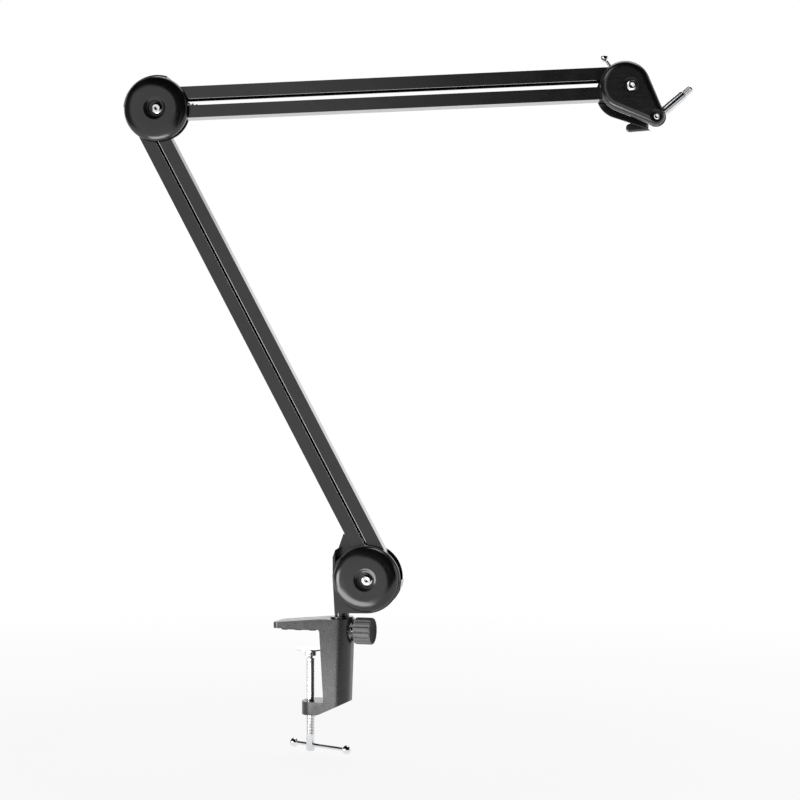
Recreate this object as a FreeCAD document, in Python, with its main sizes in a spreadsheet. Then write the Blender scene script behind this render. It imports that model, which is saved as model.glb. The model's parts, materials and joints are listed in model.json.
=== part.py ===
import FreeCAD, Part
import math
import os
import re

import Sketcher
from FreeCAD import Placement, Rotation, Vector

# Desk-clamped microphone boom arm: two spring-balanced pairs of parallel channel bars.
# +Z is up. The origin is the middle of the jaw pad's underside, which rests on the desk top.
# The jaws point along -X and the post stands at +X. The arm lies in an upright plane through
# the post, turned about it by swivel_turn, and is drawn in that plane with X across and Z up.

SIZES = {
    # Clamp casting
    "clamp_depth": 29.0,
    "post_setback": 34.0,
    "throat_setback": 15.0,
    "throat_draft": 3.6,
    "throat_round": 2.5,
    "jaw_reach": 40.8,
    "jaw_opening": 58.4,
    "jaw_tip_height": 4.8,
    "jaw_root_height": 8.4,
    "jaw_corner": 5.0,
    "lower_jaw_height": 10.8,
    "lower_jaw_nose": 5.9,
    "lower_jaw_corner": 12.0,
    "heel_setback": 17.5,
    "heel_rise": 11.5,
    "heel_round": 14.0,
    "clamp_back": 10.0,
    "back_draft": 2.4,
    "back_corner": 12.5,
    # Jaw pad
    "jaw_pad_height": 1.4,
    "jaw_pad_length": 30.6,
    "jaw_pad_width": 24.0,
    "jaw_pad_corner": 3.0,
    # Post, socket and bush
    "post_radius": 6.0,
    "post_groove_radius": 5.4,
    "post_groove_height": 7.0,
    "post_spigot_radius": 3.0,
    "bush_wall": 1.1,
    "bush_flange_radius": 9.4,
    "bush_flange_height": 1.6,
    "socket_depth": 46.0,
    "running_gap": 0.08,
    "seat_gap": 0.1,
    # Lock knob, screw and tip
    "lock_drop": 10.0,
    "lock_screw_radius": 3.0,
    "lock_tip_radius": 2.2,
    "lock_tip_length": 3.0,
    "lock_spot_radius": 8.5,
    "lock_spot_depth": 2.5,
    "knob_standoff": 0.6,
    "knob_neck_radius": 6.0,
    "knob_neck_length": 1.2,
    "knob_radius": 9.8,
    "knob_length": 15.2,
    "knob_round": 1.2,
    "knob_dish_radius": 7.0,
    "knob_dish_depth": 1.0,
    "knob_hole_depth": 9.0,
    "knob_rib_radius": 2.2,
    "knob_rib_centre": 8.8,
    "knob_rib_margin": 1.0,
    "knob_rib_count": 14.0,
    # Clamp screw, pad and tommy bar
    "screw_radius": 3.5,
    "screw_setback": 27.2,
    "screw_neck_radius": 2.0,
    "screw_shoulder": 7.2,
    "screw_tail": 5.0,
    "ball_radius": 3.0,
    "ball_drop": 4.6,
    "pad_drop": 16.0,
    "pad_gap": 0.7,
    "pad_rim": 1.2,
    "pad_cone": 2.6,
    "pad_hub_radius": 4.8,
    "pad_hub_height": 5.8,
    "tommy_drop": 79.4,
    "tommy_length": 58.0,
    "tommy_radius": 1.55,
    "tommy_ball_radius": 3.8,
    "tommy_shift": 10.7,
    "tommy_turn": -24.0,
    # Channel bars and the parallel linkages
    "bar_height": 10.2,
    "bar_depth": 18.0,
    "bar_wall": 1.4,
    "lower_length": 414.5,
    "lower_lean": 27.6,
    "lower_bar_gap": 4.0,
    "upper_length": 368.2,
    "upper_tilt": 1.8,
    "upper_bar_gap": 5.5,
    "swivel_turn": 11.0,
    # Pivots
    "pin_radius": 2.4,
    "pivot_bush_radius": 3.6,
    "pivot_bush_lip": 0.3,
    "side_play": 0.4,
    "sheet": 2.0,
    "sleeve_radius": 3.5,
    "centre_gap": 0.6,
    "spacer_radius": 5.0,
    "fit_gap": 0.05,
    # Base bracket
    "base_reach": 21.6,
    "base_height": 42.8,
    "base_spacer_length": 2.6,
    "cheek_radius": 27.6,
    "ledge_drop": 9.0,
    "ledge_reach": 8.4,
    "bracket_overhang": 6.2,
    "bracket_shoulder": 18.0,
    "bracket_top": 35.3,
    "bracket_bevel": 6.0,
    "bracket_crown": 6.0,
    "bracket_foot_in": 1.8,
    "bracket_foot_rise": 13.0,
    "base_pin_shift": 9.0,
    "base_spine_start": -16.0,
    "base_spine_angle": 14.0,
    # Elbow
    "elbow_plate_radius": 26.2,
    "elbow_rear_radius": 23.5,
    "elbow_pin_shift": 9.4,
    "elbow_pin_gap": 0.2,
    "elbow_pin_rise": 5.2,
    "spine_inner": 25.2,
    "spine_outer": 28.4,
    "spine_start": 73.0,
    "spine_angle": 103.0,
    # Head
    "head_spacer_length": 3.6,
    "head_plate_radius": 20.5,
    "head_disc_shift": 4.2,
    "head_rear_shift": 6.6,
    "head_rear_drop": 1.6,
    "head_nose_radius": 7.3,
    "head_nose_across": 20.5,
    "head_nose_drop": 24.6,
    "head_pin_gap": 0.2,
    "head_pin_rise": 4.0,
    # Covers
    "cover_radius": 26.8,
    "cover_height": 7.0,
    "cover_round": 5.2,
    "cover_recess_radius": 8.5,
    "cover_floor_radius": 5.8,
    "cover_recess_depth": 3.4,
    "cover_recess_round": 1.2,
    "rear_cover_radius": 19.5,
    "rear_cover_height": 4.6,
    "rear_cover_round": 2.8,
    "rear_recess_depth": 2.4,
    "head_cover_radius": 20.0,
    "head_cover_height": 6.5,
    "head_cover_round": 5.2,
    "head_cover_nose": 7.0,
    "head_cover_well": 5.0,
    "head_rear_radius": 14.6,
    # Centre bolts and nuts
    "bolt_radius": 2.5,
    "bolt_head_radius": 5.1,
    "bolt_head_height": 2.8,
    "bolt_head_round": 1.6,
    "hex_radius": 1.75,
    "hex_depth": 1.7,
    "nut_corner_radius": 4.6,
    "nut_height": 4.7,
    "bolt_proud": 0.8,
    # Springs and their pins
    "wire_radius": 0.7,
    "coil_radius": 2.9,
    "coil_pitch": 3.2,
    "coil_turns": 45.0,
    "coil_start": 34.0,
    "coil_gap": 0.6,
    "spring_pin_radius": 1.25,
    "hook_gap": 0.2,
    "hook_tail": 6.0,
    "tail_bend": 2.6,
    "base_anchor_back": 11.0,
    "base_anchor_side": 3.6,
    "elbow_anchor_back": 5.0,
    "elbow_anchor_side": 9.0,
    # Microphone swivel
    "knuckle_radius": 8.2,
    "washer_height": 1.5,
    "washer_radius": 6.6,
    "swivel_radius": 2.0,
    "swivel_head_radius": 3.6,
    "swivel_head_height": 2.2,
    "swivel_head_round": 1.2,
    "stud_angle": 40.5,
    "stud_seat": 6.0,
    "stud_radius": 4.0,
    "stud_shoulder": 30.2,
    "stud_tip_radius": 3.175,
    "stud_end": 38.0,
    "stud_chamfer": 0.6,
    # Wing lever and tension lever
    "wing_hub_radius": 6.5,
    "wing_tip_radius": 3.4,
    "wing_reach": 20.4,
    "wing_angle": 193.0,
    "wing_height": 6.0,
    "wing_round": 1.6,
    "lever_hub_radius": 5.5,
    "lever_hub_height": 6.0,
    "lever_rod_radius": 1.3,
    "lever_reach": 35.3,
    "lever_ball_radius": 3.2,
    "lever_angle": 125.0,
}

THROAT_X = "(post_setback - throat_setback)"
JAW_TIP_X = f"({THROAT_X} - jaw_reach)"
SCREW_X = "(post_setback - screw_setback)"
LOWER_TIP_X = f"({SCREW_X} - lower_jaw_nose)"
BACK_X = "(post_setback + clamp_back)"
CLAMP_TOP = "(jaw_pad_height + jaw_root_height)"
CLAMP_FOOT = "(-jaw_opening - lower_jaw_height)"
SOCKET_FLOOR = f"({CLAMP_TOP} - socket_depth)"
LOCK_Z = f"({CLAMP_TOP} - lock_drop)"
BUSH_BORE = "(post_radius + running_gap)"
BUSH_OUTER = f"({BUSH_BORE} + bush_wall)"
FLOOR_Z = "(base_height - ledge_drop)"
PAD_RADIUS = "(screw_setback - throat_setback - pad_gap)"
BAR_HALF = "(bar_height / 2)"
BAR_ROOM = "(bar_depth / 2 + side_play)"
BASE_ROOM = f"({BAR_ROOM} + base_spacer_length)"
HEAD_ROOM = f"({BAR_ROOM} + head_spacer_length)"
BRACKET_LEFT = "(base_reach + bracket_overhang)"
LEDGE_END = "(ledge_reach - base_reach)"
CHEEK_CORNER = "(1.04 * cheek_radius)"
LOWER_SPACING = "(bar_height + lower_bar_gap)"
UPPER_SPACING = "(bar_height + upper_bar_gap)"
LOWER_DROP = f"({BAR_HALF} + sleeve_radius + centre_gap)"
ELBOW_REACH = "(bar_height + elbow_pin_gap)"
HEAD_SETBACK = f"({BAR_HALF} + sleeve_radius + head_pin_gap)"
HOOK_RADIUS = "(spring_pin_radius + wire_radius + hook_gap)"
COIL_AXIS = f"(bar_wall - {BAR_HALF} + coil_gap + coil_radius + wire_radius)"
COIL_END = "(coil_start + coil_turns * coil_pitch)"
SPRING_PIN_X = f"({COIL_END} + tail_bend + hook_tail)"
SPRING_PIN_Z = f"({COIL_AXIS} + coil_radius - {HOOK_RADIUS})"
KNUCKLE_HALF = f"({HEAD_ROOM} - washer_height - seat_gap)"

ALONG_Y = Rotation(Vector(1, 0, 0), -90)
TOWARDS_FRONT = Rotation(Vector(1, 0, 0), 90)
ALONG_X = Rotation(Vector(0, 1, 0), 90)
TIDY = 1e-6

document = FreeCAD.newDocument("MicrophoneBoomArm")
sheet = document.addObject("Spreadsheet::Sheet", "Dims")
for row, (alias, size) in enumerate(SIZES.items(), start=1):
    sheet.set(f"A{row}", alias)
    sheet.set(f"B{row}", str(size))
    sheet.setAlias(f"B{row}", alias)
document.recompute()

pieces = []


# Formulas and constraints


def linked(formula):
    """The formula with each size's name turned into a reference to its cell."""
    return re.sub(r"[a-z_]+", lambda word: f"Dims.{word[0]}" if word[0] in SIZES else word[0], formula)


def value(formula):
    return float(sheet.evalExpression(linked(formula)))


def bind(item, **formulas):
    for name, formula in formulas.items():
        item.setExpression(name, linked(formula))


def constrain(drawing, formula, kind, *where):
    index = drawing.addConstraint(Sketcher.Constraint(kind, *where, value(formula)))
    drawing.setExpression(f"Constraints[{index}]", linked(formula))


def fix_point(drawing, edge, end, x, y):
    constrain(drawing, x, "DistanceX", -1, 1, edge, end)
    constrain(drawing, y, "DistanceY", -1, 1, edge, end)


# Sketches


def sketch(owner, role, lift="0"):
    drawing = owner.newObject("Sketcher::SketchObject", f"{owner.Name}_sketch")
    plane = next(feature for feature in owner.Origin.OriginFeatures if feature.Role == role)
    drawing.AttachmentSupport = (plane, [""])
    drawing.MapMode = "FlatFace"
    drawing.setExpression("AttachmentOffset.Base.z", linked(lift))
    return drawing


def draw_polygon(drawing, corners):
    spots = [Vector(value(x), value(y), 0) for x, y in corners]
    first = drawing.GeometryCount
    count = len(spots)
    for index, spot in enumerate(spots):
        drawing.addGeometry(Part.LineSegment(spot, spots[(index + 1) % count]), False)
    for index in range(count):
        follower = first + (index + 1) % count
        drawing.addConstraint(Sketcher.Constraint("Coincident", first + index, 2, follower, 1))
    for index, (x, y) in enumerate(corners):
        fix_point(drawing, first + index, 1, x, y)


def draw_circle(drawing, x, y, radius):
    round_edge = Part.Circle(Vector(value(x), value(y), 0), Vector(0, 0, 1), value(radius))
    edge = drawing.addGeometry(round_edge, False)
    fix_point(drawing, edge, 3, x, y)
    constrain(drawing, radius, "Radius", edge)


def draw_pill(drawing, radius, far_x, far_y, far_radius, near_x="0", near_y="0"):
    """Outline round a near circle and a far circle, with tangent sides."""
    near = Vector(value(near_x), value(near_y), 0)
    far = Vector(value(far_x), value(far_y), 0)
    reach = far - near
    heading = math.atan2(reach.y, reach.x)
    spread = math.acos((value(radius) - value(far_radius)) / reach.Length)
    above = heading + spread
    below = heading - spread
    arcs = []
    for centre, formula, start, stop in (
        (near, radius, above, below + 2 * math.pi),
        (far, far_radius, below, above),
    ):
        circle = Part.Circle(centre, Vector(0, 0, 1), value(formula))
        arcs.append(drawing.addGeometry(Part.ArcOfCircle(circle, start, stop), False))
    ends = [[drawing.getPoint(arc, end) for end in (1, 2)] for arc in arcs]
    lower = drawing.addGeometry(Part.LineSegment(ends[0][1], ends[1][0]), False)
    upper = drawing.addGeometry(Part.LineSegment(ends[1][1], ends[0][0]), False)
    for arc, arc_end, line, line_end in (
        (arcs[0], 2, lower, 1),
        (arcs[1], 1, lower, 2),
        (arcs[1], 2, upper, 1),
        (arcs[0], 1, upper, 2),
    ):
        drawing.addConstraint(Sketcher.Constraint("Tangent", arc, arc_end, line, line_end))
    fix_point(drawing, arcs[0], 3, near_x, near_y)
    fix_point(drawing, arcs[1], 3, far_x, far_y)
    constrain(drawing, radius, "Radius", arcs[0])
    constrain(drawing, far_radius, "Radius", arcs[1])


# Features of a body


def new_body(label):
    return document.addObject("PartDesign::Body", label)


def pad(owner, drawing, length, midplane=True):
    feature = owner.newObject("PartDesign::Pad", f"{owner.Name}_pad")
    feature.Profile = drawing
    feature.Midplane = midplane
    bind(feature, Length=length)
    return feature


def pocket(owner, drawing, length, midplane=False, backwards=False):
    feature = owner.newObject("PartDesign::Pocket", f"{owner.Name}_pocket")
    feature.Profile = drawing
    feature.Midplane = midplane
    feature.Reversed = backwards
    bind(feature, Length=length)
    return feature


def revolve(owner, drawing, axis="V_Axis", angle="360"):
    feature = owner.newObject("PartDesign::Revolution", f"{owner.Name}_turned")
    feature.Profile = drawing
    feature.ReferenceAxis = (drawing, [axis])
    bind(feature, Angle=angle)
    return feature


def round_edges(owner, radius, chosen):
    """Fillet the edges of the body for which chosen(edge) is true."""
    document.recompute()
    base = owner.Tip
    names = [f"Edge{number}" for number, edge in enumerate(owner.Shape.Edges, start=1) if chosen(edge)]
    feature = owner.newObject("PartDesign::Fillet", f"{owner.Name}_round")
    feature.Base = (base, names)
    bind(feature, Radius=radius)


def stands_at(x):
    """Test for straight edges along Z at this X."""

    def test(edge):
        box = edge.BoundBox
        return abs(box.Center.x - x) < TIDY and box.XLength < TIDY and box.YLength < TIDY

    return test


def leans_between(near_x, far_x):
    """Test for straight edges of one Y that run from one X to the other."""

    def test(edge):
        box = edge.BoundBox
        return abs(box.XMin - near_x) < TIDY and abs(box.XMax - far_x) < TIDY and box.YLength < TIDY

    return test


def crosses_at(x, z):
    """Test for straight edges along Y at this X and Z."""

    def test(edge):
        box = edge.BoundBox
        level = abs(box.Center.x - x) < TIDY and abs(box.Center.z - z) < TIDY
        return level and box.XLength < TIDY and box.ZLength < TIDY

    return test


def rim_at(radius, z):
    """Test for full circles about Z of this radius at this height."""

    def test(edge):
        box = edge.BoundBox
        flat = box.ZLength < TIDY and abs(box.Center.z - z) < TIDY
        return flat and abs(box.XLength - 2 * radius) < TIDY

    return test


# Pieces made of primitives


def cylinder(radius, length, x="0", y="0", z="0", turn=None):
    item = document.addObject("Part::Cylinder", "Cylinder")
    item.Placement = Placement(Vector(value(x), value(y), value(z)), turn or Rotation())
    bind(item, Radius=radius, Height=length)
    for name, formula in (("x", x), ("y", y), ("z", z)):
        item.setExpression(f"Placement.Base.{name}", linked(formula))
    return item


def crosspiece(radius, half, x, z):
    """Cylinder along Y, the same distance to both sides of the arm's plane."""
    return cylinder(radius, f"2 * {half}", x, f"-{half}", z, ALONG_Y)


def sphere(radius, x="0", z="0"):
    item = document.addObject("Part::Sphere", "Sphere")
    bind(item, Radius=radius)
    item.setExpression("Placement.Base.x", linked(x))
    item.setExpression("Placement.Base.z", linked(z))
    return item


def cut(label, base, tool):
    item = document.addObject("Part::Cut", label)
    item.Base = base
    item.Tool = tool
    return item


def fuse(label, *parts):
    item = document.addObject("Part::MultiFuse", label)
    item.Shapes = list(parts)
    return item


def group(label, members):
    item = document.addObject("Part::Compound", label)
    item.Links = list(members)
    return item


def tube(label, outer, inner, start, length, x="0", z="0"):
    """Tube along Y."""
    skin = cylinder(outer, length, x, start, z, ALONG_Y)
    bore = cylinder(inner, length, x, start, z, ALONG_Y)
    return cut(label, skin, bore)


def keep(piece, placement=None):
    """Put a finished sub-part in its place and list it for export."""
    document.recompute()
    if placement:
        piece.Placement = placement
    pieces.append(piece)
    return piece


# Where the arm's joints are


def in_plane(x, z, turn=0.0):
    """Placement in the arm's plane, turned in it from X towards Z."""
    plane = Placement(Vector(value("post_setback"), 0, 0), Rotation(Vector(0, 0, 1), value("swivel_turn")))
    return plane * Placement(Vector(x, 0, z), Rotation(Vector(0, -1, 0), turn))


def spot(x, z):
    return Vector(value(x), 0, value(z))


def polar(length, angle):
    return Vector(length * math.cos(math.radians(angle)), 0, length * math.sin(math.radians(angle)))


BASE_PINS = {
    "outer": (f"base_pin_shift - {LOWER_SPACING} / 2", LOWER_DROP),
    "inner": (f"base_pin_shift + {LOWER_SPACING} / 2", LOWER_DROP),
}
ELBOW_LOWER_PINS = {
    "outer": (f"-elbow_pin_shift - {LOWER_SPACING} / 2", f"-{LOWER_DROP}"),
    "inner": (f"-elbow_pin_shift + {LOWER_SPACING} / 2", f"-{LOWER_DROP}"),
}
ELBOW_UPPER_PINS = {
    "top": (ELBOW_REACH, f"elbow_pin_rise + {UPPER_SPACING} / 2"),
    "bottom": (ELBOW_REACH, f"elbow_pin_rise - {UPPER_SPACING} / 2"),
}
HEAD_PINS = {
    "top": (f"-{HEAD_SETBACK}", f"head_pin_rise + {UPPER_SPACING} / 2"),
    "bottom": (f"-{HEAD_SETBACK}", f"head_pin_rise - {UPPER_SPACING} / 2"),
}
LOWER_ANGLE = 90 + value("lower_lean")
UPPER_ANGLE = value("upper_tilt")
base_centre = spot("base_reach", "base_height")
lower_run = polar(value("lower_length"), LOWER_ANGLE)
elbow_centre = base_centre + spot(*BASE_PINS["outer"]) + lower_run - spot(*ELBOW_LOWER_PINS["outer"])
upper_run = polar(value("upper_length"), UPPER_ANGLE)
head_centre = elbow_centre + spot(*ELBOW_UPPER_PINS["top"]) + upper_run - spot(*HEAD_PINS["top"])
swivel_centre = head_centre + spot("head_nose_across", "-head_nose_drop")

# The springs hook onto the brackets beside a bar's pivot: behind it along the bar, and to its open side.
pin_x, pin_z = BASE_PINS["outer"]
base_anchor = (
    f"{pin_x} + base_anchor_back * sin(lower_lean) + base_anchor_side * cos(lower_lean)",
    f"{pin_z} - base_anchor_back * cos(lower_lean) + base_anchor_side * sin(lower_lean)",
)
pin_x, pin_z = ELBOW_UPPER_PINS["bottom"]
elbow_anchor = (
    f"{pin_x} - elbow_anchor_back * cos(upper_tilt) - elbow_anchor_side * sin(upper_tilt)",
    f"{pin_z} - elbow_anchor_back * sin(upper_tilt) + elbow_anchor_side * cos(upper_tilt)",
)

at_base = in_plane(base_centre.x, base_centre.z)
at_elbow = in_plane(elbow_centre.x, elbow_centre.z)
at_head = in_plane(head_centre.x, head_centre.z)
at_swivel = in_plane(swivel_centre.x, swivel_centre.z)


def in_front(frame, formula):
    """Frame moved to the near side of the plane, with its Z pointing out of it."""
    return frame * Placement(Vector(0, -value(formula), 0), TOWARDS_FRONT)


def behind(frame, formula):
    """Frame moved to the far side of the plane, with its Z pointing out of it."""
    return frame * Placement(Vector(0, value(formula), 0), ALONG_Y)


# Desk clamp


def make_clamp_frame():
    frame = new_body("clamp_frame")
    outline = sketch(frame, "XZ_Plane")
    draw_polygon(outline, [
        (JAW_TIP_X, "jaw_pad_height"),
        (THROAT_X, "jaw_pad_height"),
        (f"{THROAT_X} + throat_draft", "-jaw_opening"),
        (LOWER_TIP_X, "-jaw_opening"),
        (LOWER_TIP_X, CLAMP_FOOT),
        ("post_setback - heel_setback", CLAMP_FOOT),
        (f"{BACK_X} - back_draft", f"{CLAMP_FOOT} + heel_rise"),
        (BACK_X, CLAMP_TOP),
        (THROAT_X, CLAMP_TOP),
        (JAW_TIP_X, "jaw_pad_height + jaw_tip_height"),
    ])
    pad(frame, outline, "clamp_depth")
    round_edges(frame, "back_corner", leans_between(value(f"{BACK_X} - back_draft"), value(BACK_X)))
    round_edges(frame, "jaw_corner", stands_at(value(JAW_TIP_X)))
    round_edges(frame, "lower_jaw_corner", stands_at(value(LOWER_TIP_X)))
    round_edges(frame, "throat_round", crosses_at(value(THROAT_X), value("jaw_pad_height")))
    round_edges(frame, "heel_round", crosses_at(value("post_setback - heel_setback"), value(CLAMP_FOOT)))
    socket = sketch(frame, "XY_Plane", CLAMP_TOP)
    draw_circle(socket, "post_setback", "0", BUSH_OUTER)
    pocket(frame, socket, "socket_depth")
    screw_hole = sketch(frame, "XY_Plane", "-jaw_opening")
    draw_circle(screw_hole, SCREW_X, "0", "screw_radius + running_gap")
    pocket(frame, screw_hole, "2 * lower_jaw_height")
    lock_hole = sketch(frame, "YZ_Plane", BACK_X)
    draw_circle(lock_hole, "0", LOCK_Z, "lock_screw_radius + running_gap")
    pocket(frame, lock_hole, "clamp_back")
    lock_spot = sketch(frame, "YZ_Plane", BACK_X)
    draw_circle(lock_spot, "0", LOCK_Z, "lock_spot_radius")
    pocket(frame, lock_spot, "lock_spot_depth")
    keep(frame)


def make_jaw_pad():
    rubber = new_body("jaw_pad")
    outline = sketch(rubber, "XY_Plane")
    draw_polygon(outline, [
        ("-jaw_pad_length / 2", "-jaw_pad_width / 2"),
        ("jaw_pad_length / 2", "-jaw_pad_width / 2"),
        ("jaw_pad_length / 2", "jaw_pad_width / 2"),
        ("-jaw_pad_length / 2", "jaw_pad_width / 2"),
    ])
    pad(rubber, outline, "jaw_pad_height", midplane=False)
    end = value("jaw_pad_length / 2")
    round_edges(rubber, "jaw_pad_corner", lambda edge: stands_at(end)(edge) or stands_at(-end)(edge))
    keep(rubber)


def make_socket_bush():
    bush = new_body("socket_bush")
    wall = sketch(bush, "XZ_Plane")
    draw_polygon(wall, [
        (BUSH_BORE, SOCKET_FLOOR),
        (BUSH_OUTER, SOCKET_FLOOR),
        (BUSH_OUTER, CLAMP_TOP),
        ("bush_flange_radius", CLAMP_TOP),
        ("bush_flange_radius", f"{CLAMP_TOP} + bush_flange_height"),
        (BUSH_BORE, f"{CLAMP_TOP} + bush_flange_height"),
    ])
    revolve(bush, wall)
    window = sketch(bush, "YZ_Plane", f"{BUSH_OUTER} + bush_wall")
    draw_circle(window, "0", LOCK_Z, "lock_screw_radius + running_gap")
    pocket(bush, window, BUSH_OUTER)
    keep(bush, Placement(Vector(value("post_setback"), 0, 0), Rotation()))


# Clamp screw


def make_clamp_screw():
    below_jaw = Placement(Vector(value(SCREW_X), 0, -value("pad_drop")), Rotation())
    turned = Placement(below_jaw.Base, Rotation(Vector(0, 0, 1), value("tommy_turn")))
    plate = new_body("clamp_pad_blank")
    half = sketch(plate, "XZ_Plane")
    draw_polygon(half, [
        ("0", "0"),
        (PAD_RADIUS, "0"),
        (PAD_RADIUS, "-pad_rim"),
        ("pad_hub_radius", "-pad_cone"),
        ("pad_hub_radius", "-pad_hub_height"),
        ("0", "-pad_hub_height"),
    ])
    revolve(plate, half)
    keep(cut("clamp_pad", plate, sphere("ball_radius + seat_gap", z="-ball_drop")), below_jaw)

    tip = sphere("ball_radius", z="-ball_drop")
    neck_foot = "(-screw_shoulder - screw_radius)"
    neck = cylinder("screw_neck_radius", f"-ball_drop - {neck_foot}", z=neck_foot)
    foot = "(-tommy_drop - screw_tail)"
    thread = cylinder("screw_radius", f"-screw_shoulder - {foot}", z=foot)
    shaft = fuse("clamp_screw_blank", tip, neck, thread)
    cross_radius = "tommy_radius + running_gap"
    cross = cylinder(cross_radius, "4 * screw_radius", "-2 * screw_radius", "0", "-tommy_drop", ALONG_X)
    keep(cut("clamp_screw", shaft, cross), turned)

    slid = turned * Placement(Vector(value("tommy_shift"), 0, -value("tommy_drop")), Rotation())
    rod = document.addObject("Part::Cylinder", "tommy_bar")
    bind(rod, Radius="tommy_radius", Height="tommy_length")
    keep(rod, slid * Placement(Vector(-value("tommy_length") / 2, 0, 0), ALONG_X))
    balls = []
    for turn in (0, 180):
        ball = sphere("tommy_ball_radius", x="tommy_length / 2")
        hole = cylinder("tommy_radius", "tommy_length / 2", turn=ALONG_X)
        end = cut("tommy_ball", ball, hole)
        end.Placement = Placement(Vector(), Rotation(Vector(0, 0, 1), turn))
        balls.append(end)
    keep(group("tommy_bar_balls", balls), slid)


# Lock screw


def make_lock():
    def along(start):
        return Placement(Vector(value(f"post_setback + {start}"), 0, value(LOCK_Z)), ALONG_X)

    tip_start = "(post_groove_radius + seat_gap)"
    screw_start = f"({tip_start} + lock_tip_length + seat_gap)"
    knob_start = "(clamp_back + knob_standoff)"
    tip = document.addObject("Part::Cylinder", "lock_tip")
    bind(tip, Radius="lock_tip_radius", Height="lock_tip_length")
    keep(tip, along(tip_start))
    screw = document.addObject("Part::Cylinder", "lock_screw")
    bind(screw, Radius="lock_screw_radius", Height=f"{knob_start} + knob_hole_depth - {screw_start}")
    keep(screw, along(screw_start))

    knob = new_body("lock_knob")
    collar = sketch(knob, "XY_Plane")
    draw_circle(collar, "0", "0", "knob_neck_radius")
    pad(knob, collar, "knob_neck_length", midplane=False)
    core = sketch(knob, "XY_Plane", "knob_neck_length")
    draw_circle(core, "0", "0", "knob_radius")
    pad(knob, core, "knob_length", midplane=False)
    far = value("knob_neck_length + knob_length")
    round_edges(knob, "knob_round", rim_at(value("knob_radius"), far))
    dish = sketch(knob, "XY_Plane", "knob_neck_length + knob_length")
    draw_circle(dish, "0", "0", "knob_dish_radius")
    pocket(knob, dish, "knob_dish_depth")
    hole = sketch(knob, "XY_Plane")
    draw_circle(hole, "0", "0", "lock_screw_radius")
    pocket(knob, hole, "knob_hole_depth", backwards=True)
    rib = sketch(knob, "XY_Plane", "knob_neck_length + knob_rib_margin / 2")
    draw_circle(rib, "knob_rib_centre", "0", "knob_rib_radius")
    ridge = pad(knob, rib, "knob_length - 1.5 * knob_rib_margin", midplane=False)
    document.recompute()
    ring = knob.newObject("PartDesign::PolarPattern", "lock_knob_ribs")
    ring.Originals = [ridge]
    ring.Axis = (core, ["N_Axis"])
    ring.Angle = 360
    bind(ring, Occurrences="knob_rib_count")
    knob.Tip = ring
    keep(knob, along(knob_start))


# Bolts, nuts, covers and other pieces that several joints use


# Height, rounding of the rim and depth of the bolt's recess
FRONT_COVER = ("cover_height", "cover_round", "cover_recess_depth")
REAR_COVER = ("rear_cover_height", "rear_cover_round", "rear_recess_depth")


def make_cover(label, radius, profile, placement):
    height, edge_round, depth = profile
    cover = new_body(label)
    half = sketch(cover, "XZ_Plane")
    draw_polygon(half, [
        ("bolt_radius + fit_gap", "0"),
        (radius, "0"),
        (radius, height),
        ("cover_recess_radius", height),
        ("cover_floor_radius", f"{height} - {depth}"),
        ("bolt_radius + fit_gap", f"{height} - {depth}"),
    ])
    revolve(cover, half)
    round_edges(cover, edge_round, rim_at(value(radius), value(height)))
    round_edges(cover, "cover_recess_round", rim_at(value("cover_recess_radius"), value(height)))
    keep(cover, placement)


def make_bolt(label, radius, head_radius, head_height, head_round, length, placement):
    """Socket-headed bolt: its Z points out of the head, and 0 is the face under the head."""
    bolt = new_body(label)
    half = sketch(bolt, "XZ_Plane")
    draw_polygon(half, [
        ("0", f"-({length})"),
        (radius, f"-({length})"),
        (radius, "0"),
        (head_radius, "0"),
        (head_radius, head_height),
        ("0", head_height),
    ])
    revolve(bolt, half)
    round_edges(bolt, head_round, rim_at(value(head_radius), value(head_height)))
    socket = sketch(bolt, "XY_Plane", head_height)
    corners = []
    for corner in range(6):
        turn = 60 * corner
        corners.append((f"hex_radius * cos({turn})", f"hex_radius * sin({turn})"))
    draw_polygon(socket, corners)
    pocket(bolt, socket, "hex_depth")
    keep(bolt, placement)


def make_nut(label, placement):
    prism = document.addObject("Part::Prism", "Prism")
    prism.Polygon = 6
    bind(prism, Circumradius="nut_corner_radius", Height="nut_height")
    keep(cut(label, prism, cylinder("bolt_radius + fit_gap", "nut_height")), placement)


def make_sleeve(label, room, placement):
    keep(tube(label, "sleeve_radius", "bolt_radius + fit_gap", f"-{room}", f"2 * {room}"), placement)


def make_pins(label, room, pins, placement):
    half = f"({room} + sheet)"
    keep(group(label, [crosspiece("pin_radius", half, x, z) for x, z in pins.values()]), placement)


def make_spacers(label, room, length, pins, placement):
    tubes = []
    for x, z in pins.values():
        for start in (BAR_ROOM, f"-{room}"):
            tubes.append(tube("spacer", "spacer_radius", "pin_radius + fit_gap", start, length, x, z))
    keep(group(label, tubes), placement)


def make_anchor(label, room, anchor, placement):
    keep(group(label, [crosspiece("spring_pin_radius", f"({room} + sheet)", *anchor)]), placement)


def make_plate(label, draw_outline, pin_holes, small_holes, placement):
    """Flat plate on both sides of its own XZ plane, with holes for pins and the centre bolt."""
    plate = new_body(label)
    outline = sketch(plate, "XZ_Plane")
    draw_outline(outline)
    draw_circle(outline, "0", "0", "bolt_radius + fit_gap")
    for x, z in pin_holes:
        draw_circle(outline, x, z, "pin_radius")
    for x, z, radius in small_holes:
        draw_circle(outline, x, z, radius)
    pad(plate, outline, "sheet")
    keep(plate, placement)


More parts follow.
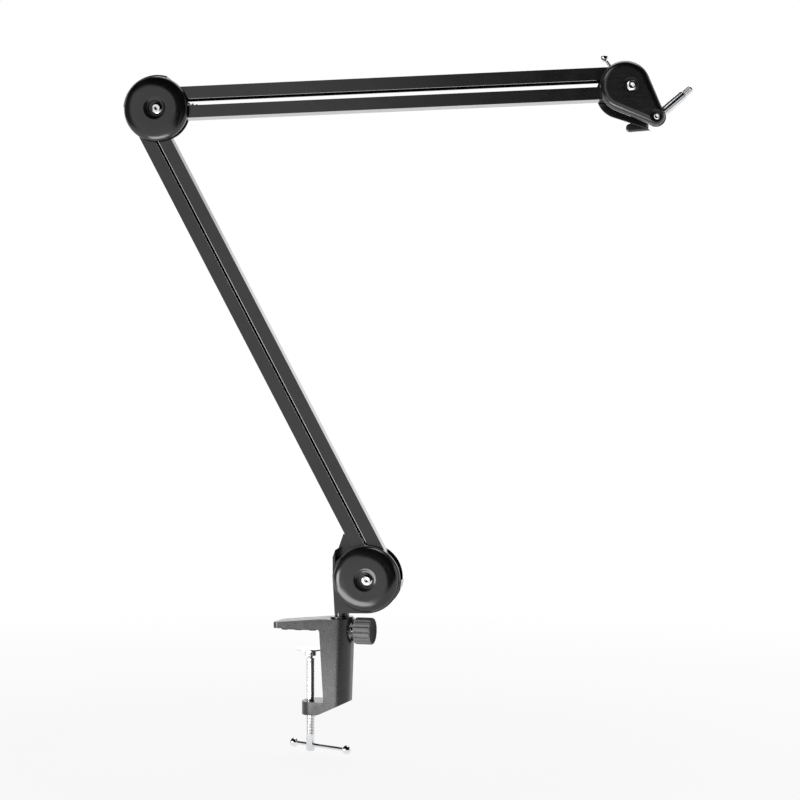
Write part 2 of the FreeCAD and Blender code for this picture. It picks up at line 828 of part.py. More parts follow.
def make_spine(label, room, start, angle, frame):
    """Curved strip between the plates of a joint, turned from start through angle."""
    spine = new_body(label)
    section = sketch(spine, "XZ_Plane")
    draw_polygon(section, [
        ("spine_inner", f"-{room}"),
        ("spine_outer", f"-{room}"),
        ("spine_outer", room),
        ("spine_inner", room),
    ])
    revolve(spine, section, angle=angle)
    turn = Placement(Vector(), Rotation(Vector(0, 0, 1), value(start)))
    keep(spine, in_front(frame, "0") * turn)


def plate_sides(frame, room):
    """Placements of the near and the far plate of a joint."""
    shift = value(f"{room} + sheet / 2")
    near = frame * Placement(Vector(0, -shift, 0), Rotation())
    far = frame * Placement(Vector(0, shift, 0), Rotation())
    return near, far


# Base


def make_base():
    post = new_body("base_post")
    half = sketch(post, "XZ_Plane")
    groove_foot = f"({LOCK_Z} - post_groove_height / 2)"
    groove_top = f"({LOCK_Z} + post_groove_height / 2)"
    step = "(post_radius - post_groove_radius)"
    draw_polygon(half, [
        ("0", f"{SOCKET_FLOOR} + seat_gap"),
        ("post_radius", f"{SOCKET_FLOOR} + seat_gap"),
        ("post_radius", groove_foot),
        ("post_groove_radius", f"{groove_foot} + {step}"),
        ("post_groove_radius", f"{groove_top} - {step}"),
        ("post_radius", groove_top),
        ("post_radius", FLOOR_Z),
        ("post_spigot_radius", FLOOR_Z),
        ("post_spigot_radius", f"{FLOOR_Z} + sheet"),
        ("0", f"{FLOOR_Z} + sheet"),
    ])
    revolve(post, half)
    keep(post, in_plane(0, 0))

    bracket = new_body("base_bracket")
    width = f"2 * ({BASE_ROOM} + sheet)"
    disc = sketch(bracket, "XZ_Plane")
    draw_circle(disc, "0", "0", "cheek_radius")
    pad(bracket, disc, width)
    wing = sketch(bracket, "XZ_Plane")
    draw_polygon(wing, [
        (f"-{BRACKET_LEFT} + bracket_foot_in", "-cheek_radius"),
        ("0", "-cheek_radius"),
        ("0", "cheek_radius"),
        (f"-{BRACKET_LEFT} + bracket_bevel + bracket_crown", "bracket_top"),
        (f"-{BRACKET_LEFT} + bracket_bevel", "bracket_top"),
        (f"-{BRACKET_LEFT}", "bracket_shoulder"),
        (f"-{BRACKET_LEFT}", "bracket_foot_rise - ledge_drop"),
    ])
    pad(bracket, wing, width)
    room = sketch(bracket, "XZ_Plane")
    draw_polygon(room, [
        ("-2 * cheek_radius", "-2 * cheek_radius"),
        ("2 * cheek_radius", "-2 * cheek_radius"),
        ("2 * cheek_radius", "2 * bracket_top"),
        (f"-{BRACKET_LEFT} + sheet", "2 * bracket_top"),
        (f"-{BRACKET_LEFT} + sheet", "bracket_foot_rise - ledge_drop"),
        (f"-{BRACKET_LEFT} + bracket_foot_in + sheet", "-ledge_drop + sheet"),
        (LEDGE_END, "-ledge_drop + sheet"),
        (LEDGE_END, "-ledge_drop"),
        ("-2 * cheek_radius", "-ledge_drop"),
    ])
    pocket(bracket, room, f"2 * {BASE_ROOM}", midplane=True)
    front = sketch(bracket, "XZ_Plane", f"{BASE_ROOM} + sheet")
    draw_polygon(front, [
        (f"-{CHEEK_CORNER}", "0"),
        (f"-0.866 * {CHEEK_CORNER}", f"0.5 * {CHEEK_CORNER}"),
        (f"-0.5 * {CHEEK_CORNER}", f"0.866 * {CHEEK_CORNER}"),
        ("0", CHEEK_CORNER),
        ("0", "2 * bracket_top"),
        ("-2 * cheek_radius", "2 * bracket_top"),
        ("-2 * cheek_radius", "0"),
    ])
    pocket(bracket, front, "sheet")
    holes = sketch(bracket, "XZ_Plane")
    draw_circle(holes, "0", "0", "bolt_radius + fit_gap")
    draw_circle(holes, *base_anchor, "spring_pin_radius")
    for x, z in BASE_PINS.values():
        draw_circle(holes, x, z, "pin_radius")
    pocket(bracket, holes, f"2 * {width}", midplane=True)
    post_hole = sketch(bracket, "XY_Plane")
    draw_circle(post_hole, "-base_reach", "0", "post_spigot_radius")
    pocket(bracket, post_hole, "2 * cheek_radius")
    keep(bracket, at_base)

    outside = f"({BASE_ROOM} + sheet)"
    make_cover("base_front_cover", "cover_radius", FRONT_COVER, in_front(at_base, outside))
    make_cover("base_rear_cover", "rear_cover_radius", REAR_COVER, behind(at_base, outside))
    make_spine("base_spine", BASE_ROOM, "base_spine_start", "base_spine_angle", at_base)
    make_joint_fixings("base", BASE_ROOM, at_base)
    make_pins("base_pins", BASE_ROOM, BASE_PINS, at_base)
    make_spacers("base_spacers", BASE_ROOM, "base_spacer_length", BASE_PINS, at_base)
    make_anchor("base_spring_anchor", BASE_ROOM, base_anchor, at_base)


def make_joint_fixings(name, room, frame):
    """Centre bolt with its nut behind and the sleeve between the plates."""
    seat = f"({room} + sheet + cover_height - cover_recess_depth)"
    nut_seat = f"({room} + sheet + rear_cover_height - rear_recess_depth)"
    length = f"{seat} + {nut_seat} + nut_height + bolt_proud"
    make_bolt(
        f"{name}_bolt", "bolt_radius", "bolt_head_radius", "bolt_head_height", "bolt_head_round", length,
        in_front(frame, seat),
    )
    make_nut(f"{name}_nut", behind(frame, nut_seat))
    make_sleeve(f"{name}_sleeve", room, frame)


# Channel bars with their bushes and springs


def make_bar(label, length, placement, sprung):
    """Channel along X from its first pivot, open towards Z."""
    bar = new_body(label)
    outline = sketch(bar, "XZ_Plane")
    draw_pill(outline, BAR_HALF, length, "0", BAR_HALF)
    pad(bar, outline, "bar_depth")
    channel = sketch(bar, "XZ_Plane")
    draw_polygon(channel, [
        ("-bar_height", f"bar_wall - {BAR_HALF}"),
        (f"{length} + bar_height", f"bar_wall - {BAR_HALF}"),
        (f"{length} + bar_height", "bar_height"),
        ("-bar_height", "bar_height"),
    ])
    pocket(bar, channel, "bar_depth - 2 * bar_wall", midplane=True)
    holes = sketch(bar, "XZ_Plane")
    draw_circle(holes, "0", "0", "pivot_bush_radius")
    draw_circle(holes, length, "0", "pivot_bush_radius")
    if sprung:
        draw_circle(holes, SPRING_PIN_X, SPRING_PIN_Z, "spring_pin_radius")
    pocket(bar, holes, "2 * bar_depth", midplane=True)
    keep(bar, placement)


def make_bushes(label, length, placement):
    half = "(bar_depth / 2 + pivot_bush_lip)"
    bore = "pin_radius + running_gap"
    tubes = []
    for x in ("0", length):
        tubes.append(tube("bush", "pivot_bush_radius", bore, f"-{half}", f"2 * {half}", x))
    keep(group(label, tubes), placement)


def arc_between(start, heading, end):
    """Arc of less than half a circle that leaves start along heading and reaches end."""
    chord = end - start
    side = chord - heading * chord.dot(heading)
    if side.Length < TIDY:
        return Part.LineSegment(start, end).toShape()
    radius = chord.Length**2 / (2 * side.Length)
    centre = start + side * (radius / side.Length)
    bisector = (start - centre) + (end - centre)
    middle = centre + bisector * (radius / bisector.Length)
    return Part.Arc(start, middle, end).toShape()


def biarc(start, heading, end, leaving):
    """Two tangent arcs between two points with given headings."""
    chord = end - start
    along = chord.dot(heading + leaving)
    spread = 2 * (1 - heading.dot(leaving))
    reach = (math.sqrt(along**2 + spread * chord.dot(chord)) - along) / spread
    joint = (start + end + (heading - leaving) * reach) * 0.5
    return [arc_between(start, heading, joint), arc_between(end, leaving * -1, joint)]


def spring_path(anchor_back, anchor_side):
    """Edges of the wire: hook on the bracket, tail, turns, tail and hook on the bar's cross pin."""
    coil = value("coil_radius")
    pitch = value("coil_pitch")
    bend = value("tail_bend")
    hook = value(HOOK_RADIUS)
    axis = value(COIL_AXIS)
    half_turns = 2 * round(value("coil_turns"))

    def on_coil(angle):
        along = value("coil_start") + pitch * angle / (2 * math.pi)
        return Vector(along, coil * math.sin(angle), axis + coil * math.cos(angle))

    def coil_heading(angle):
        return Vector(pitch / (2 * math.pi), coil * math.cos(angle), -coil * math.sin(angle)).normalize()

    def on_circle(centre, angle):
        return centre + Vector(hook * math.cos(angle), 0, hook * math.sin(angle))

    anchor = Vector(-anchor_back, -bend, anchor_side)
    entry = on_coil(0) + Vector(-bend, -bend, 0)
    reach = entry - anchor
    slope = math.atan2(reach.z, reach.x) - math.asin(hook / reach.Length)
    heading = Vector(math.cos(slope), 0, math.sin(slope))
    crest = slope + math.pi / 2
    hook_end = on_circle(anchor, crest)
    hook_start = on_circle(anchor, crest + 1.5 * math.pi)
    edges = [Part.Arc(hook_start, on_circle(anchor, crest + 0.75 * math.pi), hook_end).toShape()]
    edges.append(Part.LineSegment(hook_end, entry).toShape())
    edges += biarc(entry, heading, on_coil(0), coil_heading(0))
    for step in range(half_turns):
        before = step * math.pi
        after = before + math.pi
        edges += biarc(on_coil(before), coil_heading(before), on_coil(after), coil_heading(after))
    last = half_turns * math.pi
    leave = on_coil(last) + Vector(bend, bend, 0)
    edges += biarc(on_coil(last), coil_heading(last), leave, Vector(1, 0, 0))
    pin = Vector(value(SPRING_PIN_X), bend, value(SPRING_PIN_Z))
    pin_crest = on_circle(pin, math.pi / 2)
    edges.append(Part.LineSegment(leave, pin_crest).toShape())
    edges.append(Part.Arc(pin_crest, on_circle(pin, -math.pi / 4), on_circle(pin, -math.pi)).toShape())
    start_heading = Vector(math.sin(crest + 1.5 * math.pi), 0, -math.cos(crest + 1.5 * math.pi))
    return edges, hook_start, start_heading


def least_gap(path, wire_radius):
    """Least distance between surfaces of stretches of the wire that aren't neighbours."""
    spacing = 2 * wire_radius
    points = path.discretize(Distance=spacing)
    neighbours = 4
    least = math.inf
    for index, point in enumerate(points):
        for other in points[index + neighbours:index + 24 * neighbours]:
            least = min(least, point.distanceToPoint(other))
    return least - 2 * wire_radius


def make_spring(label, anchor_back, anchor_side, placement):
    edges, start, heading = spring_path(value(anchor_back), value(anchor_side))
    path = Part.Wire(edges)
    wire_radius = value("wire_radius")
    shell = Part.BRepOffsetAPI.MakePipeShell(path)
    shell.add(Part.Wire(Part.Circle(start, heading, wire_radius).toShape()))
    shell.build()
    shell.makeSolid()
    spring = document.addObject("Part::Feature", label)
    spring.Shape = shell.shape()
    fullness = spring.Shape.Volume / (math.pi * wire_radius**2 * path.Length)
    gap = least_gap(path, wire_radius)
    print(f"{label}: gap to itself {gap:.2f} mm, volume {fullness:.4f} of a perfect wire's")
    keep(spring, placement)


def make_spring_pin(label, placement):
    pin = crosspiece("spring_pin_radius", "(bar_depth / 2)", SPRING_PIN_X, SPRING_PIN_Z)
    keep(group(label, [pin]), placement)


def make_arms():
    over = Placement(Vector(), Rotation(Vector(1, 0, 0), 180))
    places = {}
    for name, pins, centre, angle, flip in (
        ("lower_outer", BASE_PINS["outer"], base_centre, LOWER_ANGLE, True),
        ("lower_inner", BASE_PINS["inner"], base_centre, LOWER_ANGLE, False),
        ("upper_top", ELBOW_UPPER_PINS["top"], elbow_centre, UPPER_ANGLE, True),
        ("upper_bottom", ELBOW_UPPER_PINS["bottom"], elbow_centre, UPPER_ANGLE, False),
    ):
        pivot = centre + spot(*pins)
        place = in_plane(pivot.x, pivot.z, angle)
        if flip:
            place = place * over
        places[name] = place
        length = "lower_length" if name.startswith("lower") else "upper_length"
        make_bar(f"{name}_bar", length, place, name in ("lower_outer", "upper_bottom"))
        make_bushes(f"{name}_bushes", length, place)
    make_spring("lower_spring", "base_anchor_back", "base_anchor_side", places["lower_outer"])
    make_spring_pin("lower_spring_pin", places["lower_outer"])
    make_spring("upper_spring", "elbow_anchor_back", "elbow_anchor_side", places["upper_bottom"])
    make_spring_pin("upper_spring_pin", places["upper_bottom"])


# Elbow


def make_elbow():
    near, far = plate_sides(at_elbow, BAR_ROOM)
    pins = [*ELBOW_LOWER_PINS.values(), *ELBOW_UPPER_PINS.values()]
    anchor = [(*elbow_anchor, "spring_pin_radius")]
    for label, radius, place in (
        ("elbow_front_plate", "elbow_plate_radius", near),
        ("elbow_rear_plate", "elbow_rear_radius", far),
    ):
        make_plate(label, lambda drawing: draw_circle(drawing, "0", "0", radius), pins, anchor, place)
    make_spine("elbow_spine", BAR_ROOM, "spine_start", "spine_angle", at_elbow)
    outside = f"({BAR_ROOM} + sheet)"
    make_cover("elbow_front_cover", "cover_radius", FRONT_COVER, in_front(at_elbow, outside))
    make_cover("elbow_rear_cover", "rear_cover_radius", REAR_COVER, behind(at_elbow, outside))
    make_joint_fixings("elbow", BAR_ROOM, at_elbow)
    make_pins("elbow_lower_pins", BAR_ROOM, ELBOW_LOWER_PINS, at_elbow)
    make_pins("elbow_upper_pins", BAR_ROOM, ELBOW_UPPER_PINS, at_elbow)
    make_anchor("elbow_spring_anchor", BAR_ROOM, elbow_anchor, at_elbow)


# Head and microphone swivel


def make_head():
    near, far = plate_sides(at_head, HEAD_ROOM)
    nose = ("head_nose_across", "-head_nose_drop")

    front_disc = ("-head_disc_shift", "0")
    rear_disc = ("-head_rear_shift", "-head_rear_drop")

    def front_teardrop(drawing):
        draw_pill(drawing, "head_plate_radius", *nose, "head_nose_radius", *front_disc)

    def rear_teardrop(drawing):
        draw_pill(drawing, "head_plate_radius", *nose, "head_nose_radius", *rear_disc)

    swivel_hole = [(*nose, "swivel_radius + fit_gap")]
    make_plate("head_front_plate", front_teardrop, HEAD_PINS.values(), swivel_hole, near)
    make_plate("head_rear_plate", rear_teardrop, HEAD_PINS.values(), swivel_hole, far)
    outside = f"({HEAD_ROOM} + sheet)"
    cover = new_body("head_front_cover")
    shell = sketch(cover, "XY_Plane")
    draw_pill(shell, "head_cover_radius", *nose, "head_cover_nose", *front_disc)
    pad(cover, shell, "head_cover_height", midplane=False)
    top = value("head_cover_height")
    round_edges(cover, "head_cover_round", lambda edge: edge.BoundBox.ZMin > top - TIDY)
    recess = sketch(cover, "XY_Plane", "head_cover_height")
    draw_circle(recess, "0", "0", "cover_floor_radius")
    pocket(cover, recess, "cover_recess_depth")
    holes = sketch(cover, "XY_Plane", "head_cover_height")
    draw_circle(holes, "0", "0", "bolt_radius + fit_gap")
    draw_circle(holes, *nose, "head_cover_well")
    pocket(cover, holes, "head_cover_height")
    keep(cover, in_front(at_head, outside))
    make_cover("head_rear_cover", "head_rear_radius", REAR_COVER, behind(at_head, outside))
    seat = f"({outside} + head_cover_height - cover_recess_depth)"
    lever_seat = f"({outside} + rear_cover_height + seat_gap)"
    make_bolt(
        "head_bolt", "bolt_radius", "bolt_head_radius", "bolt_head_height", "bolt_head_round",
        f"{seat} + {lever_seat} + lever_hub_height", in_front(at_head, seat),
    )
    make_sleeve("head_sleeve", HEAD_ROOM, at_head)
    make_pins("head_pins", HEAD_ROOM, HEAD_PINS, at_head)
    make_spacers("head_spacers", HEAD_ROOM, "head_spacer_length", HEAD_PINS, at_head)

    hub = cylinder("lever_hub_radius", "lever_hub_height", y=lever_seat, turn=ALONG_Y)
    middle = f"({lever_seat} + lever_hub_height / 2)"
    rod = cylinder("lever_rod_radius", "lever_reach", y=middle, turn=ALONG_X)
    ball = sphere("lever_ball_radius", x="lever_reach")
    ball.setExpression("Placement.Base.y", linked(middle))
    lever = fuse("tension_lever_blank", hub, rod, ball)
    bore = cylinder("bolt_radius + running_gap", "lever_hub_height", y=lever_seat, turn=ALONG_Y)
    lever_place = in_plane(head_centre.x, head_centre.z, value("lever_angle"))
    keep(cut("tension_lever", lever, bore), lever_place)


def make_swivel():
    pointing = in_plane(swivel_centre.x, swivel_centre.z, value("stud_angle"))
    barrel = crosspiece("knuckle_radius", KNUCKLE_HALF, "0", "0")
    bore = crosspiece("swivel_radius + running_gap", f"(2 * {KNUCKLE_HALF})", "0", "0")
    seat = cylinder("stud_radius", "knuckle_radius", "stud_seat", turn=ALONG_X)
    keep(cut("knuckle", barrel, fuse("knuckle_holes", bore, seat)), pointing)

    stud = new_body("mic_stud")
    half = sketch(stud, "XZ_Plane")
    draw_polygon(half, [
        ("stud_seat", "0"),
        ("stud_seat", "stud_radius"),
        ("stud_shoulder - stud_chamfer", "stud_radius"),
        ("stud_shoulder", "stud_radius - stud_chamfer"),
        ("stud_shoulder", "stud_tip_radius"),
        ("stud_end - stud_chamfer", "stud_tip_radius"),
        ("stud_end", "stud_tip_radius - stud_chamfer"),
        ("stud_end", "0"),
    ])
    revolve(stud, half, "H_Axis")
    keep(stud, pointing)

    outside = f"({HEAD_ROOM} + sheet)"
    wing_seat = f"({outside} + seat_gap)"
    make_bolt(
        "swivel_bolt", "swivel_radius", "swivel_head_radius", "swivel_head_height", "swivel_head_round",
        f"{outside} + {wing_seat} + wing_height", in_front(at_swivel, outside),
    )
    washers = []
    for start in (f"{HEAD_ROOM} - washer_height", f"-{HEAD_ROOM}"):
        washers.append(tube("washer", "washer_radius", "swivel_radius + fit_gap", start, "washer_height"))
    keep(group("swivel_washers", washers), at_swivel)

    wing = new_body("wing_lever")
    outline = sketch(wing, "XZ_Plane")
    draw_pill(outline, "wing_hub_radius", "wing_reach", "0", "wing_tip_radius")
    draw_circle(outline, "0", "0", "swivel_radius + running_gap")
    pad(wing, outline, "wing_height")
    reach = value("swivel_radius + running_gap")
    outer_face = value("wing_height / 2")

    def outer_rim(edge):
        box = edge.BoundBox
        on_face = box.YLength < TIDY and abs(abs(box.Center.y) - outer_face) < TIDY
        return on_face and box.ZLength > 2 * reach + TIDY or on_face and box.XLength > 2 * reach + TIDY

    round_edges(wing, "wing_round", outer_rim)
    lifted = Placement(Vector(0, value(f"{wing_seat} + wing_height / 2"), 0), Rotation())
    keep(wing, in_plane(swivel_centre.x, swivel_centre.z, value("wing_angle")) * lifted)


def write_pieces():
    document.recompute()
    for item in document.Objects:
        if "Invalid" in item.State or "Error" in item.State:
            raise RuntimeError(f"{item.Label} failed: {item.State}")
    for piece in pieces:
        if piece.Shape.isNull() or not piece.Shape.isValid() or not piece.Shape.Solids:
            raise RuntimeError(f"{piece.Label} has no valid solid")
    os.makedirs("parts", exist_ok=True)
    for piece in pieces:
        piece.Shape.exportStep(f"parts/{piece.Label}.step")
    print(f"{len(pieces)} sub-parts written")


make_clamp_frame()
make_jaw_pad()
make_socket_bush()
make_clamp_screw()
make_lock()
make_base()
make_arms()
make_elbow()
make_head()
make_swivel()
write_pieces()
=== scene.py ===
# %% [markdown]
# # Dressing a microphone boom arm
# The arm is a desk clamp, two spring-balanced pairs of channel bars and a threaded stud for the
# microphone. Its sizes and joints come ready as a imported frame. Here each piece gets its real
# edges, threads, springs and finishes, and a plain studio to be looked at in. All lengths are in
# metres, so `MM` turns the maker's millimetres into them.

# %% Load the frame
import json
import math

import bmesh
import bpy
from mathutils import Matrix, Vector


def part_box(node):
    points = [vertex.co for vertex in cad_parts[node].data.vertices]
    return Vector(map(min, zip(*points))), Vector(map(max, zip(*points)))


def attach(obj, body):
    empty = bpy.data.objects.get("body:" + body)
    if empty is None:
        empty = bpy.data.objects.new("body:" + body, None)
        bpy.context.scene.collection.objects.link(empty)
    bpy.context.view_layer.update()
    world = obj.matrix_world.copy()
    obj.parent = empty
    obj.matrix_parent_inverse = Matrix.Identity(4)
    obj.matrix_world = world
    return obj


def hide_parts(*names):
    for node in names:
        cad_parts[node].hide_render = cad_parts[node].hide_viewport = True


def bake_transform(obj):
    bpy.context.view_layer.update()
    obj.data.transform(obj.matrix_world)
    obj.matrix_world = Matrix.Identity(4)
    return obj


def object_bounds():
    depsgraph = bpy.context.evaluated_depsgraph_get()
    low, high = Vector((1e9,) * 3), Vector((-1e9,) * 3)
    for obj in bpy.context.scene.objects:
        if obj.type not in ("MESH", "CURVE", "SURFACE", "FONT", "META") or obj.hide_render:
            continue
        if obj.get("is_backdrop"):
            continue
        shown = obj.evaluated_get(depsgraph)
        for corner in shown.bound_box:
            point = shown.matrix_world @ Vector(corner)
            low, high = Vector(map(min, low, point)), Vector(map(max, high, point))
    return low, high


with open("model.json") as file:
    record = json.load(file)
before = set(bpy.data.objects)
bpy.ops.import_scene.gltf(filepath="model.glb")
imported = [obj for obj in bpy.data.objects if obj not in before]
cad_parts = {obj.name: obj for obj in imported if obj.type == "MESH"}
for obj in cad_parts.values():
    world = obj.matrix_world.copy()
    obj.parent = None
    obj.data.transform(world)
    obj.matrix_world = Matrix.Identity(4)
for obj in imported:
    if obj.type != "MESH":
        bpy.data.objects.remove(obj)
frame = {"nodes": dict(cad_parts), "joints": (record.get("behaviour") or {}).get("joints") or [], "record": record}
cad_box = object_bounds()
MM = 0.001
nodes = frame["nodes"]
joints = {joint["name"]: joint for joint in frame["joints"]}
members_of_body = frame["record"]["behaviour"]["bodies"]
body_of_node = {node: body for body, members in members_of_body.items() for node in members}
slot_of_node = {row["node"]: row["material_slot"] for row in frame["record"]["subparts"]}
print("box", [tuple(corner) for corner in cad_box])

# %% [markdown]
# ## The plane of the arm
# The whole arm lies in one upright plane that is turned a little about the clamp's post. A joint's
# axis is the normal of that plane, so it is read from the frame instead of being typed again. Every
# round piece on the arm is then drawn in a small frame of its own: X to the right, Y up and Z
# towards the viewer.

# %% Read the arm's plane and pivots
towards_viewer = Vector(joints["lower_lean"]["axis"])
upwards = Vector((0, 0, 1))
across = upwards.cross(-towards_viewer)
pivot = {name: Vector(joint["pos_m"]) for name, joint in joints.items() if "pos_m" in joint}


def axes(origin, x, y, z):
    """Matrix of a frame with this origin and these three unit axes."""
    return Matrix.Translation(origin) @ Matrix((x, y, z)).transposed().to_4x4()


def middle(node):
    low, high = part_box(node)
    return (low + high) / 2


print("arm plane faces", tuple(round(v, 3) for v in towards_viewer))

# %% [markdown]
# ## Finishes
# Almost everything here is black, so the finishes are told apart by how they shine: powder coat has
# a fine orange peel, the casting is slightly sandy, moulded plastic is smoother with a few scuffs.
# Each finish is a Principled shader whose colour, roughness and bump come from noise in object
# coordinates, so the grain stays on the piece when a joint moves. Image textures would need
# unwrapping and add nothing at this scale.

# %% Small helpers for shader nodes
def blank_finish(name, **constants):
    """New material, its node tree and its shader, whose own sockets take the constants."""
    material = bpy.data.materials.new(name)
    material.use_nodes = True
    shader = material.node_tree.nodes["Principled BSDF"]
    for socket, constant in constants.items():
        shader.inputs[socket.replace("_", " ")].default_value = constant
    return material, material.node_tree, shader


def feed(tree, socket, source):
    """Puts a link or a plain value on an input socket."""
    if isinstance(source, bpy.types.NodeSocket):
        tree.links.new(source, socket)
    else:
        socket.default_value = source


def add(tree, kind, sockets=None, **settings):
    """New node with its settings, and values or links on its input sockets."""
    made = tree.nodes.new(kind)
    for name, setting in settings.items():
        setattr(made, name, setting)
    for name, source in (sockets or {}).items():
        feed(tree, made.inputs[name], source)
    return made


def combine(tree, operation, first, second):
    """One number made from two by a math operation."""
    return add(tree, "ShaderNodeMath", {0: first, 1: second}, operation=operation).outputs["Value"]


def noise(tree, size, detail=2.0, stretch=(1, 1, 1)):
    """Noise with grains of about size metres, from 0 to 1."""
    place = add(tree, "ShaderNodeTexCoord").outputs["Object"]
    scaled = add(tree, "ShaderNodeMapping", {"Vector": place, "Scale": stretch}).outputs["Vector"]
    sockets = {"Vector": scaled, "Scale": 1 / size, "Detail": detail}
    return add(tree, "ShaderNodeTexNoise", sockets).outputs["Fac"]


def between(tree, source, low, high, start=0.3, end=0.7):
    """The source from start to end, stretched to run from low to high."""
    limits = {"Value": source, "From Min": start, "From Max": end, "To Min": low, "To Max": high}
    return add(tree, "ShaderNodeMapRange", limits).outputs["Result"]


def tint(tree, source, dark, light, start=0.35, end=0.65):
    """Colour that goes from dark to light as the source rises."""
    ramp = add(tree, "ShaderNodeValToRGB", {"Fac": source})
    for stop, position, colour in zip(ramp.color_ramp.elements, (start, end), (dark, light)):
        stop.position = position
        stop.color = (*colour, 1)
    return ramp.outputs["Color"]


def paint(tree, shader, colour, roughness):
    """Puts a finish's colour and roughness on its shader."""
    feed(tree, shader.inputs["Base Color"], colour)
    feed(tree, shader.inputs["Roughness"], roughness)


def bumps(tree, shader, *layers):
    """Stacks bump layers, each a source with its depth in metres, on the shader's normal."""
    normal = None
    for source, depth in layers:
        sockets = {"Height": source, "Strength": 1.0, "Distance": depth}
        if normal:
            sockets["Normal"] = normal
        normal = add(tree, "ShaderNodeBump", sockets).outputs["Normal"]
    tree.links.new(normal, shader.inputs["Normal"])


def edge_mask(tree, width):
    """1 on outer and inner corners within width, 0 on flat faces."""
    rounded = add(tree, "ShaderNodeBevel", {"Radius": width}, samples=4).outputs["Normal"]
    flat = add(tree, "ShaderNodeNewGeometry").outputs["Normal"]
    alike = add(tree, "ShaderNodeVectorMath", {0: rounded, 1: flat}, operation="DOT_PRODUCT")
    return between(tree, alike.outputs["Value"], 1.0, 0.0, 0.8, 0.99)


def worn(tree, colour, edge_colour, mask):
    """Colour that goes to edge_colour where the mask and a coarse noise both say so."""
    patchy = between(tree, noise(tree, 6 * MM, 4.0), 0.0, 1.0, 0.42, 0.62)
    both = combine(tree, "MULTIPLY", mask, patchy)
    colours = {"Factor": both, "A": colour, "B": (*edge_colour, 1)}
    return add(tree, "ShaderNodeMix", colours, data_type="RGBA").outputs["Result"]


print("finish helpers ready")

# %% [markdown]
# Powder coat covers the bars, plates, bracket and post. Sprayed powder melts into a skin with a
# faint orange peel about a millimetre across, and it thins on corners, where it looks a shade
# lighter.

# %% Satin black powder coat
def satin_powder_coat():
    material, tree, shader = blank_finish("satin_powder_coat", IOR=1.6)
    clouds = noise(tree, 30 * MM, 3.0)
    cloudy = tint(tree, clouds, (0.0062, 0.0063, 0.0066), (0.0098, 0.0099, 0.0103))
    colour = worn(tree, cloudy, (0.035, 0.035, 0.036), edge_mask(tree, 0.5 * MM))
    paint(tree, shader, colour, between(tree, noise(tree, 9 * MM, 4.0), 0.14, 0.19))
    orange_peel = noise(tree, 1.1 * MM, 2.0)
    bumps(tree, shader, (orange_peel, 0.006 * MM), (noise(tree, 0.25 * MM), 0.0015 * MM))
    return material


# %% [markdown]
# The clamp is a casting. Its paint lies over sand marks, so the bump is coarser and less even, and
# the gloss is lower than on the bars.

# %% Black paint on the casting
def painted_casting():
    material, tree, shader = blank_finish("painted_casting", IOR=1.6)
    clouds = noise(tree, 14 * MM, 4.0)
    cloudy = tint(tree, clouds, (0.0085, 0.0086, 0.009), (0.0125, 0.0126, 0.013))
    colour = worn(tree, cloudy, (0.04, 0.04, 0.041), edge_mask(tree, 0.7 * MM))
    paint(tree, shader, colour, between(tree, noise(tree, 5 * MM, 4.0), 0.23, 0.31))
    sand_marks = noise(tree, 1.6 * MM, 3.0)
    bumps(tree, shader, (sand_marks, 0.012 * MM), (noise(tree, 0.4 * MM, 2.0), 0.004 * MM))
    return material


# %% [markdown]
# Covers, knob, wing and socket bush are moulded plastic: a very fine even grain from the mould, a softer shine,
# and a few long scuffs where hands have rubbed it. The knob is duller and rougher than the covers, for grip, and
# its black is painted a lighter grey as a painted sheen, so its shade, its gloss and both ends of the roughness
# are left open.

# %% Moulded black plastic
def moulded_plastic(name, shade, gloss, smoothest, roughest):
    material, tree, shader = blank_finish(name, IOR=gloss)
    cloudy = tint(tree, noise(tree, 20 * MM, 2.0), (0.86 * shade,) * 3, (1.14 * shade,) * 3)
    scuffs = noise(tree, 3 * MM, 5.0, stretch=(0.25, 1, 2.5))
    paint(tree, shader, cloudy, between(tree, scuffs, smoothest, roughest, 0.35, 0.75))
    grain = noise(tree, 0.35 * MM, 2.0)
    bumps(tree, shader, (grain, 0.002 * MM), (noise(tree, 8 * MM), 0.02 * MM))
    return material


# %% [markdown]
# Chrome is a thin mirror over polished steel. What keeps it from looking like glass is a trace of
# the polishing: long faint waves, and a roughness that isn't quite even.

# %% Polished chrome
def polished_chrome():
    material, tree, shader = blank_finish("polished_chrome", Metallic=1.0)
    haze = tint(tree, noise(tree, 12 * MM, 3.0), (0.72, 0.73, 0.75), (0.86, 0.865, 0.875))
    paint(tree, shader, haze, between(tree, noise(tree, 2 * MM, 4.0), 0.05, 0.13))
    waves = noise(tree, 5 * MM, 2.0)
    bumps(tree, shader, (waves, 0.01 * MM), (noise(tree, 0.5 * MM, 3.0), 0.0008 * MM))
    return material


# %% [markdown]
# Bolts, nuts and pins are zinc plated. The plate is duller and slightly bluish, and turning leaves
# fine marks in it.

# %% Bright zinc plate
def zinc_plate():
    material, tree, shader = blank_finish("zinc_plate", Metallic=1.0)
    haze = tint(tree, noise(tree, 3 * MM, 4.0), (0.7, 0.71, 0.73), (0.88, 0.885, 0.9))
    paint(tree, shader, haze, between(tree, noise(tree, 1 * MM, 4.0), 0.09, 0.18))
    marks = noise(tree, 0.3 * MM, 3.0, stretch=(1, 0.15, 1))
    bumps(tree, shader, (marks, 0.004 * MM))
    return material


# %% [markdown]
# The springs are drawn wire: grey steel with an oily sheen and lines along the drawing direction.

